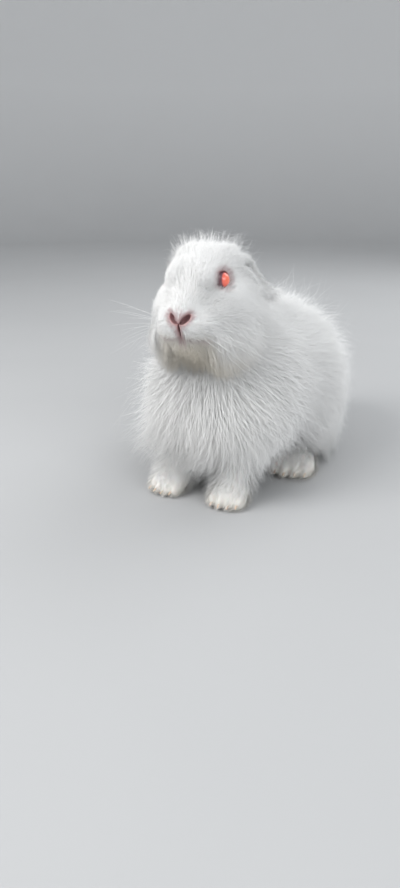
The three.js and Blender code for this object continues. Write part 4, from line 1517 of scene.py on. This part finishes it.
class MakeEyes(Operator):
    """Makes the two eyes."""

    bl_idname = "rabbit.make_eyes"
    bl_label = "Make Eyes"

    def execute(self, context):
        figure = Figure(context.scene.rabbit_body)
        material = eye_material(context.scene.rabbit_face)
        for side, sign in SIDES.items():
            shell = bmesh.new()
            bmesh.ops.create_icosphere(shell, subdivisions=5, radius=1.0)
            ball = bpy.data.meshes.new("eye")
            shell.to_mesh(ball)
            shell.free()
            directions = unit(points_of(ball))
            centre = figure.eye_frame(sign)[0]
            gaze = figure.pupil_gaze * (sign, 1, 1)
            off_gaze = np.arccos(np.clip(directions @ gaze, -1, 1))
            bulge = 1.6 * MM * (1 - ramp(off_gaze, 0.25, 1.0))
            radius = figure.sizes.eye_radius - 0.35 * MM + bulge
            own = centre + directions * radius[:, None]
            spots = figure.from_head(own) + figure.shift
            ball.vertices.foreach_set("co", spots.astype(np.float32).ravel())
            put_numbers(ball, "off_gaze", off_gaze)
            ball.shade_smooth()
            eye = new_piece(f"eyeball_{side}", ball, material)
            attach(eye, BODY)
            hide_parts(f"eye_{side}")
        return {"FINISHED"}


def claw_rings(root, forwards, size):
    """Rings along one curved claw."""
    t = np.linspace(0, 1, 8)
    path = root + forwards * (size * t)[:, None]
    path[:, 2] = np.maximum(path[:, 2] + size * 0.08 * t - size * 0.3 * t**2, 0.7 * MM)
    radii = size * 0.15 * np.sqrt(1 - t**2) * 0.96 + size * 0.012
    return tapered(path, radii, 10, 0.8)


class MakeClaws(Operator):
    """Makes the claws of each foot."""

    bl_idname = "rabbit.make_claws"
    bl_label = "Make Claws"

    def execute(self, context):
        figure = Figure(context.scene.rabbit_body)
        material = horn_material(context.scene.rabbit_face)
        size = figure.sizes.claw
        feet = {"fore": figure.fore_toes, "hind": figure.hind_toes}
        for side, sign in SIDES.items():
            for end, toes in feet.items():
                turn = math.radians(SPLAY[end])
                forwards = np.array((math.sin(turn), -math.cos(turn), 0))
                claws = []
                for centre, radii in toes:
                    root = centre + forwards * (radii[1] - size * 0.45)
                    root[2] = centre[2] + radii[2] * 0.05
                    claws.append(claw_rings(root, forwards, size))
                points, faces = bundle(claws)
                mesh = outwards(new_mesh("claws", points * (sign, 1, 1), faces, figure.shift))
                piece = new_piece(f"claws_{end}_{side}", mesh, material)
                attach(piece, BODY)
                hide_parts(*[f"claw_{end}_{side}_{i}" for i in range(1, 5)])
        return {"FINISHED"}


class MakeWhiskers(Operator):
    """Makes the whiskers and the long hairs over the eyes."""

    bl_idname = "rabbit.make_whiskers"
    bl_label = "Make Whiskers"

    def execute(self, context):
        figure = Figure(context.scene.rabbit_body)
        face = context.scene.rabbit_face
        draws = np.random.default_rng(5)
        hairs = []
        for sign in SIDES.values():
            for row in range(4):
                for column in range(4):
                    hairs.append(self.whisker(figure, face, draws, sign, row, column))
            for number in range(4):
                hairs.append(self.brow(figure, face, draws, sign, number))
        points, faces = bundle(hairs)
        mesh = outwards(new_mesh("whiskers", points, faces, figure.shift))
        piece = new_piece("whiskers", mesh, whisker_material())
        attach(piece, BODY)
        return {"FINISHED"}

    def whisker(self, figure, face, draws, sign, row, column):
        """One whisker of the muzzle, in four rows of four."""
        at = figure.on_head
        inside = at(0.1 * sign, -0.36, -0.1)
        towards = np.array((sign * (0.55 + 0.28 * column), -0.9 + 0.3 * column, 0.12 - 0.22 * row))
        root = onto(figure.skull, inside, unit(towards))
        out = np.array((sign * 1.0, -0.1 + 0.14 * column, 0.28 - 0.3 * row))
        out = unit(out + draws.normal(0, 0.06, 3))
        droop = np.array((0, 0.35, -0.45))
        reach = face.whisker * draws.uniform(0.62, 1.0)
        return self.hair(figure, root, out, droop, reach, face.whisker_thickness)

    def brow(self, figure, face, draws, sign, number):
        """One long hair over an eye."""
        towards = np.array((sign * 0.6, -0.3 + 0.28 * number, 1.0))
        root = onto(figure.skull, figure.eye_at * (0.3 * sign, 1, 1), unit(towards))
        out = np.array((sign * 0.45, -0.2 + 0.1 * number, 1.0))
        out = unit(out + draws.normal(0, 0.12, 3))
        droop = np.array((0, 0.4, -0.1))
        reach = face.whisker * draws.uniform(0.18, 0.27)
        return self.hair(figure, root, out, droop, reach, face.whisker_thickness * 0.7)

    def hair(self, figure, root, out, droop, reach, thickness):
        """Rings along a bent hair that thins to its tip."""
        t = np.linspace(0, 1, 9)[:, None]
        path = root - out * 2 * MM + out * (reach + 2 * MM) * t + droop * reach * 0.35 * t**2
        radii = thickness / 2 * (1 - t[:, 0]) ** 0.7 + 0.03 * MM
        return tapered(figure.from_head(path), radii, 4)


# The stage


def add_light(name, place, target, size, watts, tint):
    """A soft square light that looks at a point."""
    lamp = bpy.data.lights.new(name, "AREA")
    lamp.shape = "SQUARE"
    lamp.size = size
    lamp.energy = watts
    lamp.color = tint
    holder = bpy.data.objects.new(name, lamp)
    bpy.context.scene.collection.objects.link(holder)
    holder.location = place
    holder.rotation_euler = (Vector(target) - Vector(place)).to_track_quat("-Z", "Y").to_euler()
    return holder


class MakeStage(Operator):
    """Makes the floor, the lights and the camera."""

    bl_idname = "rabbit.make_stage"
    bl_label = "Make Stage"

    def execute(self, context):
        stage = context.scene.rabbit_stage
        self.make_camera(context, stage)
        self.make_floor(stage)
        middle = (0, -0.06, 0.16)
        for name, (place, size, power, tint) in LIGHTS.items():
            add_light(name, place, middle, size, stage.light * power, tint)
        world = bpy.data.worlds.new("room")
        world.use_nodes = True
        background = world.node_tree.nodes["Background"]
        background.inputs["Color"].default_value = ROOM_TINT
        background.inputs["Strength"].default_value = ROOM_STRENGTH
        context.scene.world = world
        context.scene.view_settings.view_transform = "Standard"
        return {"FINISHED"}

    def make_camera(self, context, stage):
        """The camera at the viewing angle of the photograph."""
        lens = bpy.data.cameras.new("camera")
        lens.lens = stage.lens
        camera = bpy.data.objects.new("camera", lens)
        context.scene.collection.objects.link(camera)
        camera.location = stage.camera_place
        camera.rotation_euler = (math.pi / 2 - stage.camera_pitch, 0, stage.camera_turn)
        context.scene.camera = camera

    def make_floor(self, stage):
        """A round floor that curves up to a wall far away."""
        flat, cove = stage.floor_size, stage.cove
        rows, sides = 12, 96
        outline = [(r, 0.0) for r in np.linspace(0.05, flat, rows)]
        outline += [
            (flat + cove * math.sin(turn), cove - cove * math.cos(turn))
            for turn in np.linspace(0.1, math.pi / 2, rows)
        ]
        outline.append((flat + cove, stage.wall_height))
        turns = np.linspace(0, 2 * math.pi, sides, endpoint=False)
        rings = [
            np.stack([r * np.cos(turns), r * np.sin(turns), np.full(sides, z)], axis=1)
            for r, z in outline
        ]
        faces = loft(rings)[:-1]
        mesh = new_mesh("floor", np.concatenate(rings), faces, np.zeros(3))
        mesh.flip_normals()
        floor = new_piece("floor", mesh, floor_material(stage))


class RabbitPanel(Panel):
    """Lists the steps that build the rabbit."""

    bl_idname = "VIEW3D_PT_rabbit"
    bl_label = "Angora Rabbit"
    bl_space_type = "VIEW_3D"
    bl_region_type = "UI"
    bl_category = "Rabbit"

    def draw(self, context):
        for step in STEPS:
            self.layout.operator(step.bl_idname)
        for name in GROUPS:
            group = getattr(context.scene, name)
            box = self.layout.box()
            for key in group.bl_rna.properties.keys():
                if key not in ("rna_type", "name"):
                    box.prop(group, key)


STEPS = (MakeStage, MakeSkin, MakeEyes, MakeCoat, MakeClaws, MakeWhiskers)
GROUPS = {
    "rabbit_body": RabbitBody, "rabbit_coat": RabbitCoat,
    "rabbit_face": RabbitFace, "rabbit_stage": RabbitStage,
}


def register():
    """Registers the properties, the steps and the panel."""
    for group in GROUPS.values():
        bpy.utils.register_class(group)
    for name, group in GROUPS.items():
        setattr(bpy.types.Scene, name, PointerProperty(type=group))
    for step in STEPS:
        bpy.utils.register_class(step)
    bpy.utils.register_class(RabbitPanel)


def unregister():
    """Takes back what register did."""
    bpy.utils.unregister_class(RabbitPanel)
    for step in reversed(STEPS):
        bpy.utils.unregister_class(step)
    for name, group in GROUPS.items():
        delattr(bpy.types.Scene, name)
        bpy.utils.unregister_class(group)


def main():
    """Builds the rabbit."""
    register()
    bpy.ops.rabbit.make_stage()
    bpy.ops.rabbit.make_skin()
    bpy.ops.rabbit.make_eyes()
    bpy.ops.rabbit.make_coat()
    bpy.ops.rabbit.make_claws()
    bpy.ops.rabbit.make_whiskers()


if __name__ == "__main__":
    main()
